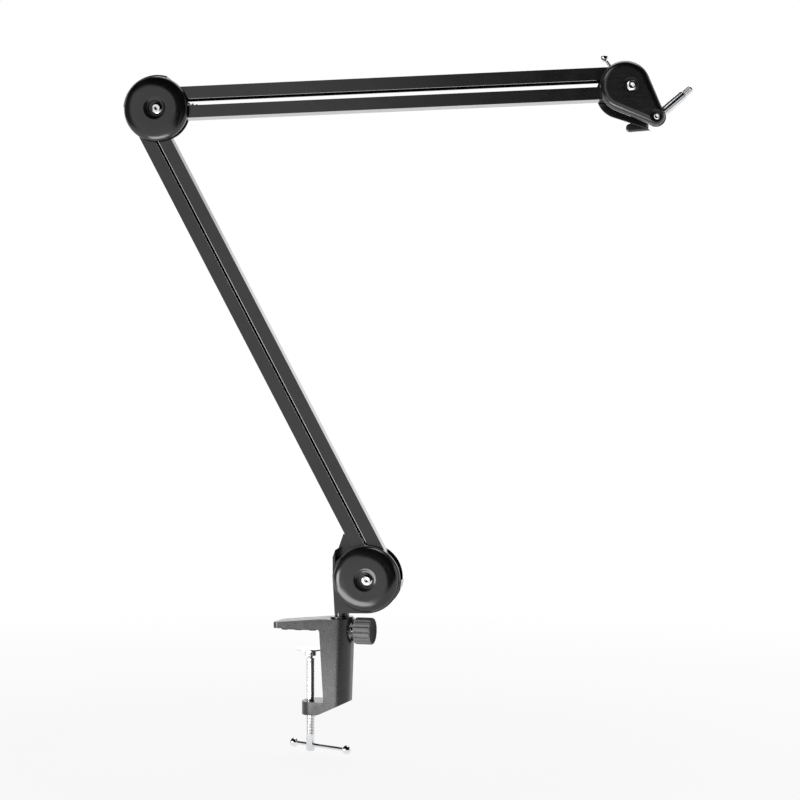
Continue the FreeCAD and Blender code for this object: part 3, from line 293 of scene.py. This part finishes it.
# %% Drawn spring wire
def drawn_wire():
    material, tree, shader = blank_finish("drawn_wire", Metallic=1.0)
    haze = tint(tree, noise(tree, 1.5 * MM, 4.0), (0.5, 0.5, 0.51), (0.72, 0.72, 0.73))
    paint(tree, shader, haze, between(tree, noise(tree, 0.8 * MM, 3.0), 0.22, 0.36))
    bumps(tree, shader, (noise(tree, 0.2 * MM, 3.0), 0.004 * MM))
    return material


# %% [markdown]
# Two softer finishes are left: the rubber pad under the jaw, dull with a fine leathery grain, and
# the milky nylon of the bushes, spacers and washers.

# %% Rubber and nylon
def black_rubber():
    material, tree, shader = blank_finish("black_rubber", IOR=1.5)
    dusty = tint(tree, noise(tree, 4 * MM, 5.0), (0.014, 0.014, 0.014), (0.03, 0.03, 0.029))
    paint(tree, shader, dusty, between(tree, noise(tree, 2 * MM, 3.0), 0.62, 0.8))
    bumps(tree, shader, (noise(tree, 0.6 * MM, 3.0), 0.03 * MM))
    return material


def natural_nylon():
    material, tree, shader = blank_finish("natural_nylon", IOR=1.53, Subsurface_Weight=0.15)
    shader.inputs["Subsurface Radius"].default_value = (1.5 * MM, 1.4 * MM, 1.1 * MM)
    milky = tint(tree, noise(tree, 3 * MM, 3.0), (0.72, 0.7, 0.62), (0.82, 0.81, 0.75))
    paint(tree, shader, milky, between(tree, noise(tree, 1 * MM, 3.0), 0.38, 0.5))
    bumps(tree, shader, (noise(tree, 0.5 * MM, 2.0), 0.006 * MM))
    return material


FINISHES = {
    "powder_coat": satin_powder_coat(),
    "cast_black": painted_casting(),
    "black_plastic": moulded_plastic(
        "moulded_plastic", shade=0.008, gloss=1.6, smoothest=0.17, roughest=0.25),
    "chrome": polished_chrome(),
    "zinc": zinc_plate(),
    "spring_steel": drawn_wire(),
    "rubber": black_rubber(),
    "nylon": natural_nylon(),
}
for name, node in nodes.items():
    node.data.materials.clear()
    node.data.materials.append(FINISHES[slot_of_node[name]])
print("finishes:", ", ".join(FINISHES))

# %% [markdown]
# ## Turning meshes into pieces
# A finished piece needs a finish and the name of the node it stands for, which one function gives it; a second one
# also puts it on the node's body to ride on. Smooth shading with a weighted normal keeps flat faces flat and lets
# only the rounded edges catch the light. Turned, wound and moulded pieces are all rings of points with a skin over
# them.

# %% Piece maker
SHARP_FROM = math.radians(38)


def skin(mesh, rings):
    """Quads between neighbouring rings of vertices, and a cap on the first and the last."""
    for first, second in zip(rings, rings[1:]):
        for corner in range(len(first)):
            after = (corner + 1) % len(first)
            mesh.faces.new((first[corner], first[after], second[after], second[corner]))
    mesh.faces.new(rings[0])
    mesh.faces.new(rings[-1])
    return mesh


def piece(name, mesh, node):
    """Shows this bmesh in place of a CAD node, in the node's finish."""
    data = bpy.data.meshes.new(name)
    bmesh.ops.recalc_face_normals(mesh, faces=mesh.faces)
    mesh.to_mesh(data)
    mesh.free()
    data.materials.append(FINISHES[slot_of_node[node]])
    data.shade_smooth()
    data.set_sharp_from_angle(angle=SHARP_FROM)
    made = bpy.data.objects.new(name, data)
    bpy.context.scene.collection.objects.link(made)
    weighted = made.modifiers.new("flat_faces", "WEIGHTED_NORMAL")
    weighted.keep_sharp = True
    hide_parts(node)
    return made


def riding(name, mesh, node):
    """A piece that moves with its node's body and doesn't bend."""
    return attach(piece(name, mesh, node), body_of_node[node])


print("piece maker ready")

# %% [markdown]
# ## Rolled and broken edges
# No real edge is sharp: sheet metal is tumbled, castings are fettled, bars are roll-formed. A CAD
# solid has knife edges, which catch no light and look like paper. So the flat triangles of each
# such node are merged back into faces, and every edge that turns by more than 30 degrees is
# bevelled by the width that its maker would leave.

# %% Break the edges of the sheet-metal, cast and moulded pieces
EDGE_WIDTHS = {
    0.62: ("lower_outer_bar", "lower_inner_bar", "upper_top_bar", "upper_bottom_bar"),
    0.4: ("base_bracket", "base_spine", "elbow_front_plate", "elbow_rear_plate", "elbow_spine",
          "head_front_plate", "head_rear_plate"),
    0.8: ("clamp_frame",),
    0.3: ("socket_bush", "head_front_cover", "knuckle", "wing_lever", "base_post"),
}
WELD = 1e-6
FLAT_WITHIN = math.radians(0.4)
CORNER_FROM = math.radians(30)


def broken_edges(node, width):
    """The node with its sharp edges bevelled, and how many they were."""
    mesh = bmesh.new()
    mesh.from_mesh(nodes[node].data)
    bmesh.ops.remove_doubles(mesh, verts=mesh.verts, dist=WELD)
    bmesh.ops.dissolve_limit(mesh, angle_limit=FLAT_WITHIN, verts=mesh.verts, edges=mesh.edges)
    sharp = [edge for edge in mesh.edges if edge.calc_face_angle(0) > CORNER_FROM]
    rolled = {"offset": width * MM, "segments": 3, "profile": 0.5}
    bmesh.ops.bevel(mesh, geom=sharp, affect="EDGES", clamp_overlap=True, **rolled)
    return riding(f"{node}_edged", mesh, node), len(sharp)


for width, names in EDGE_WIDTHS.items():
    for name in names:
        made, count = broken_edges(name, width)
        print(made.name, count, "edges broken by", width, "mm")

# %% [markdown]
# ## Domed covers
# Each joint is closed by a round plastic cover with a broad rolled rim and a soft dimple for the
# bolt. It is a lathe part, so a half profile is drawn as radius and height and spun about the bolt.
# The dimple goes down along half a cosine wave, which leaves no line where it starts.

# %% Spin profiles into covers
SPOKES = 128


def lathe(profile, place, spokes=SPOKES):
    """Closed skin through rows of (radius, height), each radius a number or a function of angle."""
    mesh = bmesh.new()
    rings = []
    for radius, height in profile:
        ring = []
        for spoke in range(spokes):
            angle = 2 * math.pi * spoke / spokes
            reach = radius(angle) if callable(radius) else radius
            spot = Vector((reach * math.cos(angle), reach * math.sin(angle), height))
            ring.append(mesh.verts.new(place @ (spot * MM)))
        rings.append(ring)
    return skin(mesh, rings)


def quarter(centre, reach, rise, start, end, steps=10):
    """Points on an ellipse about centre, from one angle to another in degrees."""
    turns = [math.radians(start + (end - start) * step / steps) for step in range(steps + 1)]
    x, y = centre
    return [(x + reach * math.cos(turn), y + rise * math.sin(turn)) for turn in turns]


WELL = 6.2
WELL_ROUND = 0.6
BOLT_HOLE = 2.6
BACK_EDGE = 0.8
BACK_EDGE_RISE = 0.6
RIM_STEPS = 24
DIMPLE_STEPS = 16


def dome(radius, height, rim, drop, dimple, sag, depth):
    """Profile from the back edge over the rolled rim and the sagging dimple to the bolt's seat."""
    floor = height - depth
    profile = [(radius - BACK_EDGE, 0), (radius, BACK_EDGE_RISE)]
    profile += quarter((radius - rim, height - drop), rim, drop, 0, 90, RIM_STEPS)
    for step in range(DIMPLE_STEPS + 1):
        share = step / DIMPLE_STEPS
        fall = (1 - math.cos(math.pi * share)) / 2
        profile.append((dimple + (WELL - dimple) * share, height - sag * fall))
    profile += [(WELL - WELL_ROUND / 2, floor + WELL_ROUND / 3), (WELL - WELL_ROUND, floor)]
    return profile + [(BOLT_HOLE, floor)]


FRONT_DOME = {"radius": 26.8, "height": 7.0, "rim": 10.5, "drop": 6.3,
              "dimple": 9.8, "sag": 1.0, "depth": 3.4}
REAR_DOME = {"radius": 19.5, "height": 4.6, "rim": 5.6, "drop": 3.8,
             "dimple": 10.4, "sag": 1.2, "depth": 2.4}
HEAD_DOME = {"radius": 14.6, "height": 4.6, "rim": 4.4, "drop": 3.8,
             "dimple": 9.8, "sag": 1.2, "depth": 2.4}
COVERS = {
    "base_front_cover": FRONT_DOME,
    "elbow_front_cover": FRONT_DOME,
    "base_rear_cover": REAR_DOME,
    "elbow_rear_cover": REAR_DOME,
    "head_rear_cover": HEAD_DOME,
}
for node, sizes in COVERS.items():
    outwards = towards_viewer if "front" in node else -towards_viewer
    seat = middle(node) - outwards * (sizes["height"] / 2 * MM)
    shape = lathe(dome(**sizes), axes(seat, upwards.cross(outwards), upwards, outwards))
    made = riding(f"{node}_dome", shape, node)
    print(made.name, len(made.data.polygons), "faces")

# %% [markdown]
# ## Bolts
# The bolts have domed heads with a hexagon socket. The socket is the only part that isn't round, so
# its rings have a radius that depends on the angle. How far a bolt reaches is measured along the
# normal of the arm's plane.

# %% Turn the bolts
BOLT_SPOKES = 72
POINT = 0.4
BRIM = 0.3
BRIM_ROUND = 0.2
CROWN_STEPS = 12
SOCKET_FLARE = 1.04
SOCKET_FLOOR = 0.9


def hexagon(flat):
    """Radius of a hexagon with this distance from middle to side, as a function of angle."""
    def reach(angle):
        return flat / math.cos(angle % (math.pi / 3) - math.pi / 6)
    return reach


def bolt_profile(length, head, height, shank, flat):
    """Half profile from the shank's end over the head's dome down into the socket."""
    seat = length - height
    crown = 1.5 * flat
    profile = [(shank - POINT, 0), (shank, POINT), (shank, seat)]
    profile += [(head - BRIM_ROUND, seat), (head, seat + BRIM)]
    profile += quarter((crown, seat + BRIM), head - crown, height - BRIM, 0, 90, CROWN_STEPS)[1:]
    profile += [(hexagon(SOCKET_FLARE * flat), length - 0.1), (hexagon(flat), length - 0.4)]
    return profile + [(hexagon(flat), seat + SOCKET_FLOOR), (0.3, seat + 0.5)]


JOINT_BOLT = {"head": 5.1, "height": 2.8, "shank": 2.5, "flat": 1.5}
SWIVEL_BOLT = {"head": 3.6, "height": 2.2, "shank": 2.0, "flat": 1.1}
BOLTS = {
    "base_bolt": JOINT_BOLT,
    "elbow_bolt": JOINT_BOLT,
    "head_bolt": JOINT_BOLT,
    "swivel_bolt": SWIVEL_BOLT,
}
for node, sizes in BOLTS.items():
    reaches = [vertex.co.dot(towards_viewer) for vertex in nodes[node].data.vertices]
    length = (max(reaches) - min(reaches)) / MM
    centre = middle(node)
    end = centre + towards_viewer * (min(reaches) - centre.dot(towards_viewer))
    place = axes(end, across, upwards, towards_viewer)
    shape = lathe(bolt_profile(length, **sizes), place, BOLT_SPOKES)
    made = riding(f"{node}_turned", shape, node)
    print(made.name, round(length, 1), "mm long")

# %% [markdown]
# ## Springs
# An extension spring in each pair of bars carries the weight. It hooks on a pin of the joint at one
# end and on a cross pin in the bar at the other. The wire is one line of points: hook, tail, turns,
# tail, hook. A small ring swept along that line makes the wire. The upper spring climbs out of its
# bar towards the elbow, so it has a few early turns on a rising line.

# %% Follow the spring wire
WIRE = 0.7
COIL = 2.9
PITCH = 3.2
TURNS = 45
COIL_START = 34.0
STRAIGHT_FROM = 48.0
COIL_AXIS = 0.5
TAIL_BEND = 2.6
HOOK_TAIL = 6.0
HOOK = 2.15
HOOK_STEPS = 20
TAIL_STEPS = 12
TURN_STEPS = 28


def arc(centre, start, end, steps):
    """Points of a hook about centre, in the plane of the bar."""
    turns = [start + (end - start) * step / steps for step in range(steps + 1)]
    return [centre + HOOK * Vector((math.cos(turn), 0, math.sin(turn))) for turn in turns]


def sweep_between(start, heading, end, leaving, steps=8):
    """Smooth curve between two points with given headings, without its ends."""
    reach = (end - start).length
    points = []
    for step in range(1, steps):
        t = step / steps
        near = start * (2 * t**3 - 3 * t**2 + 1) + heading * (reach * (t**3 - 2 * t**2 + t))
        points.append(near + end * (3 * t**2 - 2 * t**3) + leaving * (reach * (t**3 - t**2)))
    return points


def spring_line(anchor_back, anchor_side, early_turns, rise):
    """The wire's middle line in the bar's own frame, in millimetres."""
    rising = STRAIGHT_FROM - COIL_START + PITCH * early_turns

    def on_coil(turn):
        angle = 2 * math.pi * turn
        along = COIL_START + PITCH * turn
        climb = max(0.0, (STRAIGHT_FROM - along) / rising)
        axis = COIL_AXIS + rise * climb**2
        return Vector((along, COIL * math.sin(angle), axis + COIL * math.cos(angle)))

    winding = Vector((PITCH / (2 * math.pi), COIL, 0)).normalized()
    anchor = Vector((-anchor_back, -TAIL_BEND, anchor_side))
    entry = on_coil(-early_turns) + Vector((-TAIL_BEND, -TAIL_BEND, 0))
    reach = entry - anchor
    slope = math.atan2(reach.z, reach.x) - math.asin(HOOK / reach.length)
    crest = slope + math.pi / 2
    tail = Vector((math.cos(slope), 0, math.sin(slope)))
    line = arc(anchor, crest + 1.5 * math.pi, crest, HOOK_STEPS)
    line += [line[-1].lerp(entry, step / TAIL_STEPS) for step in range(1, TAIL_STEPS + 1)]
    line += sweep_between(entry, tail, on_coil(-early_turns), winding)
    steps = range(-TURN_STEPS * early_turns, TURN_STEPS * TURNS + 1)
    line += [on_coil(step / TURN_STEPS) for step in steps]
    leave = on_coil(TURNS) + Vector((TAIL_BEND, TAIL_BEND, 0))
    line += sweep_between(on_coil(TURNS), winding, leave, Vector((1, 0, 0)))
    pin = leave + Vector((HOOK_TAIL, 0, -HOOK))
    return line + [leave] + arc(pin, math.pi / 2, -math.pi, HOOK_STEPS)


def wire_mesh(line, place, sides=10):
    """Ring of the wire's radius, carried along the line without twisting."""
    mesh = bmesh.new()
    rings = []
    side = Vector((0, 1, 0))
    turns = [2 * math.pi * step / sides for step in range(sides)]
    for index, point in enumerate(line):
        heading = (line[min(index + 1, len(line) - 1)] - line[max(index - 1, 0)]).normalized()
        side = (side - heading * side.dot(heading)).normalized()
        other = heading.cross(side)
        ways = [side * math.cos(turn) + other * math.sin(turn) for turn in turns]
        rings.append([mesh.verts.new(place @ ((point + WIRE * way) * MM)) for way in ways])
    return skin(mesh, rings)


# %% [markdown]
# On the real arm the hooked end stays with the joint and the turns stay with the bar, so the tail between them
# bends; here the wire is laid where the frame stands and baked into the world, without a body.

# %% Hang the springs
def bar_frame(first, second, turned):
    """Frame along a bar from its first pivot, with Z towards its open side."""
    along = (second - first).normalized()
    open_side = along.cross(towards_viewer) * turned
    return axes(first, along, open_side.cross(along), open_side)


LOWER_TAIL = {"anchor_back": 11.0, "anchor_side": 3.6, "early_turns": 0, "rise": 0.0}
UPPER_TAIL = {"anchor_back": 5.0, "anchor_side": 9.0, "early_turns": 6, "rise": 4.6}
lower_pivots = (pivot["lower_lean"], pivot["elbow_level"])
upper_run = pivot["head_level"] - pivot["upper_tilt"]
upper_pivots = (pivot["upper_follow"], pivot["upper_follow"] + upper_run)
SPRINGS = {
    "lower_spring": ("base", "lower_outer", lower_pivots, 1, LOWER_TAIL),
    "upper_spring": ("elbow", "upper_bottom", upper_pivots, -1, UPPER_TAIL),
}
for node, (joint_body, bar_body, (first, second), turned, tail) in SPRINGS.items():
    place = bar_frame(first, second, turned)
    made = piece(f"{node}_wire", wire_mesh(spring_line(**tail), place), node)
    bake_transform(made)
    print(made.name, len(made.data.polygons), "faces, box", [round(v, 4) for v in made.dimensions])

# %% [markdown]
# ## Threads
# The clamp screw and the microphone stud are turned bars with rolled threads. A thread is a lathe
# profile whose radius also depends on the angle: the groove climbs one pitch per turn. Wide crests
# with narrow grooves keep the long reflections that bright plated threads show.

# %% Cut threads
GROOVE_SHARE = 0.24


def groove(radius, depth, pitch, height):
    """Radius at a height on a right-hand thread, as a function of angle."""
    def reach(angle):
        phase = (height / pitch - angle / (2 * math.pi)) % 1.0
        return radius - depth * max(0.0, 1 - abs(phase - 0.5) / GROOVE_SHARE)
    return reach


def thread(radius, depth, pitch, start, end, steps=10):
    """Rings of a thread that fades in and out over one turn at its ends."""
    count = int((end - start) / pitch * steps)
    rings = []
    for step in range(count + 1):
        height = start + step * pitch / steps
        fade = min(1, step / steps, (count - step) / steps)
        rings.append((groove(radius, depth * fade, pitch, height), height))
    return rings


THREAD_DEPTH = 0.42
THREAD_SPOKES = 48
print("threads are", THREAD_DEPTH, "mm deep")

# %% [markdown]
# The screw stands in the clamp's lower arm. It is drawn from the ball at its top, which turns in
# the pad, down to the plain end that the tommy bar goes through.

# %% Cut the clamp screw
SCREW = 3.5
SCREW_PITCH = 1.25
BALL = 3.0
NECK = 2.0
NECK_FROM = 5.4
SHOULDER = 6.0
SHOULDER_ROUND = 0.6
SCREW_THREAD_FROM = 7.2
PLAIN_END = 12.0
END_ROUND = 0.7
low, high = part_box("clamp_screw")
screw_top = middle("clamp_screw")
screw_top.z = high.z
length = (high.z - low.z) / MM
profile = quarter((0, BALL), BALL, BALL, -86, 42, 12)
profile += [(NECK, NECK_FROM), (NECK, SHOULDER)]
profile += [(SCREW - SHOULDER_ROUND, SHOULDER), (SCREW, SHOULDER + SHOULDER_ROUND)]
profile += thread(SCREW, THREAD_DEPTH, SCREW_PITCH, SCREW_THREAD_FROM, length - PLAIN_END - 1)
profile += [(SCREW, length - PLAIN_END), (SCREW, length - END_ROUND), (SCREW - END_ROUND, length)]
downwards = axes(screw_top, Vector((1, 0, 0)), Vector((0, -1, 0)), Vector((0, 0, -1)))
made = riding("clamp_screw_threaded", lathe(profile, downwards, THREAD_SPOKES), "clamp_screw")
print(made.name, round(length, 1), "mm long,", len(made.data.polygons), "faces")

# %% [markdown]
# The stud is plain where it leaves the knuckle. Past a shoulder its narrow end carries the thread
# for the microphone's holder. Its direction is that of the mount in the record.

# %% Cut the stud
mount = next(row for row in frame["record"]["mounts"] if row["name"] == "mic_thread")
along_stud = Vector(mount["axis"])
stud_frame = axes(pivot["mic_tilt"], towards_viewer, along_stud.cross(towards_viewer), along_stud)
STUD = 4.0
STUD_THREAD = 3.175
STUD_PITCH = 1.27
STUD_ROOT = 2.75
STUD_FROM = 6.0
STUD_SHOULDER = 30.2
STUD_THREAD_FROM = 31.0
STUD_THREAD_TO = 37.3
STUD_TIP = (2.6, 38.0)
profile = [(STUD, STUD_FROM), (STUD, STUD_SHOULDER - 0.7)]
profile += [(STUD - 0.1, STUD_SHOULDER - 0.3), (STUD - 0.5, STUD_SHOULDER)]
profile += [(STUD_ROOT, STUD_SHOULDER + 0.05), (STUD_ROOT, STUD_SHOULDER + 0.7)]
profile += thread(STUD_THREAD, THREAD_DEPTH, STUD_PITCH, STUD_THREAD_FROM, STUD_THREAD_TO)
profile += [STUD_TIP]
made = riding("mic_stud_threaded", lathe(profile, stud_frame, THREAD_SPOKES), "mic_stud")
print(made.name, len(made.data.polygons), "faces")

# %% [markdown]
# ## Lock knob
# The knob is gripped by broad lobes with narrow grooves between them, and has a smooth, slightly dished end. It is
# a lathe part again, with the grooves as a function of angle. Its end cap has a duller finish than the lobes. The
# knob's own colour is black: the lobes are painted a lighter grey as a painted highlight of the light they catch,
# and the cap a darker grey as a fainter painted sheen.

# %% Turn the knob
LOBES = 14
LOBE_SPOKES = 16
GRIP = 11.0
GROOVE = 1.4
GROOVE_NARROWNESS = 6
KNOB_NECK = 6.0
COLLAR = 8.4
COLLAR_FROM = 1.2
CAP = 9.6
DISH = 7.0


def lobed(radius, depth):
    """Radius with a groove of this depth between each two lobes, as a function of angle."""
    def reach(angle):
        return radius - depth * ((1 + math.cos(LOBES * angle)) / 2) ** GROOVE_NARROWNESS
    return reach


low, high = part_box("lock_knob")
knob_back = middle("lock_knob")
knob_back.x = low.x
length = (high.x - low.x) / MM
outwards = axes(knob_back, Vector((0, 1, 0)), Vector((0, 0, 1)), Vector((1, 0, 0)))
# Each row is how far in from the grip, how deep the groove and how far from that end of the knob.
back_edge = [(1.1, 0.6, 1.4), (0.3, 1.1, 2.0), (0.0, GROOVE, 3.0)]
front_edge = [(0.0, GROOVE, 2.2), (0.05, 1.1, 1.2), (0.3, 0.6, 0.5), (0.8, 0.2, 0.1)]
profile = [(KNOB_NECK, 0.0), (KNOB_NECK, COLLAR_FROM), (COLLAR, COLLAR_FROM)]
profile += [(lobed(GRIP - inset, depth), height) for inset, depth, height in back_edge]
profile += [(lobed(GRIP - inset, depth), length - height) for inset, depth, height in front_edge]
profile += [(CAP, length), (DISH + 0.6, length), (DISH, length - 0.25), (2.0, length - 0.6)]
made = riding("lock_knob_lobed", lathe(profile, outwards, LOBES * LOBE_SPOKES), "lock_knob")
# Both shades are painted light on a black knob: a lighter grey on the lobes as a painted highlight, a darker grey
# on the cap as a fainter painted sheen.
grip_painted_highlight = moulded_plastic(
    "knob_painted_highlight_plastic", shade=0.16, gloss=1.3, smoothest=0.4, roughest=0.55)
cap_painted_sheen = moulded_plastic(
    "knob_cap_painted_sheen_plastic", shade=0.09, gloss=1.05, smoothest=0.5, roughest=0.64)
made.data.materials[0] = grip_painted_highlight
made.data.materials.append(cap_painted_sheen)
# Faces turned outwards take the cap's darker painted sheen, all others the lobes' lighter painted highlight.
FACING_OUT = 0.9
for face in made.data.polygons:
    face.material_index = int(face.normal.x > FACING_OUT)
print(made.name, round(length, 1), "mm long")

# %% [markdown]
# ## Jaw pad
# Under the upper jaw lies a rubber pad with moulded cross ribs, so that it grips a smooth desk top.
# A strip is swept along the jaw with its lower face going up and down.

# %% Mould the pad
RIB = 6.0
RIB_DEPTH = 0.35
RIB_STEEPNESS = 3.0
PAD_CORNER = 2.4
BEAD = 0.5 * MM
PAD_STEPS = 144
low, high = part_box("jaw_pad")
mesh = bmesh.new()
rings = []
for step in range(PAD_STEPS + 1):
    x = low.x + (high.x - low.x) * step / PAD_STEPS
    end = min(x - low.x, high.x - x) / MM
    inset = PAD_CORNER * max(0.0, 1 - end / PAD_CORNER) ** 2 * MM
    wave = max(0.0, math.cos(2 * math.pi * (x / MM) / (2 * RIB)))
    sole = low.z + RIB_DEPTH * MM * (1 - min(1.0, RIB_STEEPNESS * wave))
    front, back = low.y + inset, high.y - inset
    section = [(front, high.z), (front, sole + BEAD), (front + BEAD, sole)]
    section += [(back - BEAD, sole), (back, sole + BEAD), (back, high.z)]
    rings.append([mesh.verts.new((x, y, z)) for y, z in section])
made = riding("jaw_pad_ribbed", skin(mesh, rings), "jaw_pad")
print(made.name, len(made.data.polygons), "faces")

# %% [markdown]
# ## Studio
# The arm stands in a white sweep. Black paint shows little but reflections, so the shape of the
# studio matters more than its brightness: white behind and below, a soft card in front on the left
# and a dark room in front on the right. That is what makes the bars fade from grey to black along
# their length. The camera sees plain white instead of the room. The room is lit by direction alone:
# each pair of numbers is where a light area begins and ends on one axis of the unit sphere.

# %% Room
CARD_LEVEL = 0.95
CARD_LEAN = 0.75
CARD_EDGE = (0.18, 0.28)
CARD_LEFT = (-0.66, -0.42)
CARD_TOP = (0.35, 0.6)
BACKDROP_FROM = (-0.1, 0.3)
BACKDROP_TOP = (0.3, 0.5)
BELOW_FROM = (-0.2, -0.5)
BELOW_RIGHT = (0.1, 0.35)
world = bpy.data.worlds.new("white_sweep")
bpy.context.scene.world = world
world.use_nodes = True
tree = world.node_tree
tree.nodes.clear()
way = add(tree, "ShaderNodeTexCoord").outputs["Generated"]
parts = add(tree, "ShaderNodeSeparateXYZ", {"Vector": way})


def ramp(tree, source, limits, low=0.0, high=1.0):
    """Smooth way from low to high as the source goes from the first limit to the second."""
    start, end = limits
    sockets = {"Value": source, "From Min": start, "From Max": end, "To Min": low, "To Max": high}
    eased = add(tree, "ShaderNodeMapRange", sockets, interpolation_type="SMOOTHSTEP")
    return eased.outputs["Result"]


right, back, up = (parts.outputs[axis] for axis in "XYZ")
leaning = combine(tree, "ADD", right, combine(tree, "MULTIPLY", up, CARD_LEAN))
card = ramp(tree, leaning, CARD_EDGE, 1.0, 0.0)
card = combine(tree, "MULTIPLY", card, ramp(tree, right, CARD_LEFT, 0.1, 1.0))
card = combine(tree, "MULTIPLY", card, ramp(tree, up, CARD_TOP, 1.0, 0.05))
card = combine(tree, "MULTIPLY", card, CARD_LEVEL)
behind = ramp(tree, back, BACKDROP_FROM)
behind = combine(tree, "MULTIPLY", behind, ramp(tree, up, BACKDROP_TOP, 1.0, 0.1))
below = ramp(tree, up, BELOW_FROM)
below = combine(tree, "MULTIPLY", below, ramp(tree, right, BELOW_RIGHT, 1.0, 0.1))
room = combine(tree, "MAXIMUM", combine(tree, "MAXIMUM", card, behind), below)
seen = add(tree, "ShaderNodeLightPath").outputs["Is Camera Ray"]
level = combine(tree, "MAXIMUM", room, seen)
backdrop = add(tree, "ShaderNodeBackground", {"Color": (1, 1, 1, 1), "Strength": level})
add(tree, "ShaderNodeOutputWorld", {"Surface": backdrop.outputs["Background"]})
print("room lit")

# %% [markdown]
# The floor is pale and keeps a soft shadow. Most of what the camera sees of it is plain white, and
# a share is real light, so the shadow shows only faintly, as on a lit sweep. That share runs out a
# metre from the clamp, where the floor becomes one with the backdrop. It ends a short way in front
# of the clamp, because the black paint would mirror a white floor there.

# %% Floor
FLOOR_REACH = 4.0
FLOOR_FRONT = -0.4
PLAIN_SHARE = 0.9
SHADOW_NEAR = 0.25
SHADOW_END = 1.1
floor_height = cad_box[0].z - 1 * MM
mesh = bmesh.new()
near_edge = [(-FLOOR_REACH, FLOOR_FRONT), (FLOOR_REACH, FLOOR_FRONT)]
far_edge = [(FLOOR_REACH, FLOOR_REACH), (-FLOOR_REACH, FLOOR_REACH)]
mesh.faces.new([mesh.verts.new((x, y, floor_height)) for x, y in near_edge + far_edge])
data = bpy.data.meshes.new("pale_floor")
mesh.to_mesh(data)
mesh.free()
floor = bpy.data.objects.new("pale_floor", data)
bpy.context.scene.collection.objects.link(floor)
floor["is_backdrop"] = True
material, tree, shader = blank_finish("pale_floor", Roughness=0.9)
cloudy = tint(tree, noise(tree, 0.4, 3.0), (0.82, 0.82, 0.82), (0.86, 0.86, 0.86))
feed(tree, shader.inputs["Base Color"], cloudy)
glow = add(tree, "ShaderNodeEmission", {"Color": (1, 1, 1, 1), "Strength": 1.0})
rays = add(tree, "ShaderNodeLightPath")
shown = combine(tree, "MAXIMUM", rays.outputs["Is Camera Ray"], rays.outputs["Is Glossy Ray"])
shown = combine(tree, "MAXIMUM", shown, rays.outputs["Is Transmission Ray"])
spot = add(tree, "ShaderNodeTexCoord").outputs["Object"]
away = add(tree, "ShaderNodeVectorMath", {0: spot}, operation="LENGTH").outputs["Value"]
plain = between(tree, away, PLAIN_SHARE, 1.0, SHADOW_NEAR, SHADOW_END)
share = combine(tree, "MULTIPLY", shown, plain)
layers = {"Fac": share, 1: shader.outputs["BSDF"], 2: glow.outputs["Emission"]}
mix = add(tree, "ShaderNodeMixShader", layers)
feed(tree, tree.nodes["Material Output"].inputs["Surface"], mix.outputs["Shader"])
data.materials.append(material)
print("floor at", round(floor_height, 4))

# %% [markdown]
# Six lamps: a broad one overhead that gives the floor its shadow, a panel lying on the floor in
# front, whose reflection is the soft crescent on the lower rims of the covers, a low one behind
# that draws the bright lines on the jaw's top and the bars' sides, a small one low on the left that
# carries the crescent up the base cover, a small one high on the left for the stud and a faint one
# low on the right that fills its other side.

# %% Lamps
def softbox(name, place, aim, size, power, spread=180):
    """Area lamp of this size in metres and power in watts, its spread in degrees."""
    data = bpy.data.lights.new(name, "AREA")
    data.shape = "RECTANGLE"
    data.size, data.size_y = size
    data.energy = power
    lamp = bpy.data.objects.new(name, data)
    lamp.location = place
    lamp.rotation_euler = (Vector(aim) - Vector(place)).to_track_quat("-Z", "Y").to_euler()
    data.spread = math.radians(spread)
    lamp.visible_camera = False
    bpy.context.scene.collection.objects.link(lamp)


LAMPS = {
    "overhead_softbox": {"place": (0.1, 0.9, 1.8), "aim": (0.0, 0.0, 0.1),
                         "size": (1.6, 1.0), "power": 12.0},
    "floor_panel": {"place": (-0.1, -0.3, -0.095), "aim": (-0.1, -0.3, 1.0),
                    "size": (0.42, 0.3), "power": 2.3},
    "back_softbox": {"place": (0.1, 1.4, 0.3), "aim": (0.0, 0.0, 0.2),
                     "size": (2.2, 0.6), "power": 1.6},
    "left_softbox": {"place": (-0.37, -0.44, 0.0), "aim": (0.03, 0.0, 0.03),
                     "size": (0.22, 0.26), "power": 0.19, "spread": 60},
    "stud_softbox": {"place": (0.05, -0.2, 0.68), "aim": (0.27, 0.06, 0.42),
                     "size": (0.3, 0.2), "power": 0.05, "spread": 60},
    "stud_fill": {"place": (0.47, -0.36, 0.26), "aim": (0.32, 0.07, 0.45),
                  "size": (0.35, 0.35), "power": 0.07, "spread": 90},
}
for name, settings in LAMPS.items():
    softbox(name, **settings)
print("lamps:", ", ".join(LAMPS))

# %% [markdown]
# ## Camera
# The photograph was taken from slightly right of the clamp and about level with the middle of the
# arm, with a long lens. The place and the lens come from matching the bolts, the bars' sides and
# the jaw's top with the picture.

# %% Camera
CAMERA_PLACE = Vector((533.0, -1566.9, 190.0)) * MM
YAW = math.radians(16.0)
PITCH_DOWN = math.radians(0.035)
lens = bpy.data.cameras.new("photo_camera")
lens.sensor_width = 36.0
lens.lens = 90.0
camera = bpy.data.objects.new("photo_camera", lens)
looks = Vector((-math.sin(YAW), math.cos(YAW), -math.tan(PITCH_DOWN)))
camera.location = CAMERA_PLACE
camera.rotation_euler = looks.to_track_quat("-Z", "Y").to_euler()
bpy.context.scene.collection.objects.link(camera)
bpy.context.scene.camera = camera
bpy.context.scene.view_settings.view_transform = "Standard"
print("camera at", tuple(round(v, 3) for v in camera.location))

# %% [markdown]
# ## Finish
# Both boxes, the frame's and the dressed arm's, are printed. The dressed arm has to
# stay as big as the frame.

# %% Measure and finish
visual_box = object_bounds()
sizes = {"cad": [list(corner) for corner in cad_box], "visual": [list(corner) for corner in visual_box]}
print("boxes", sizes)
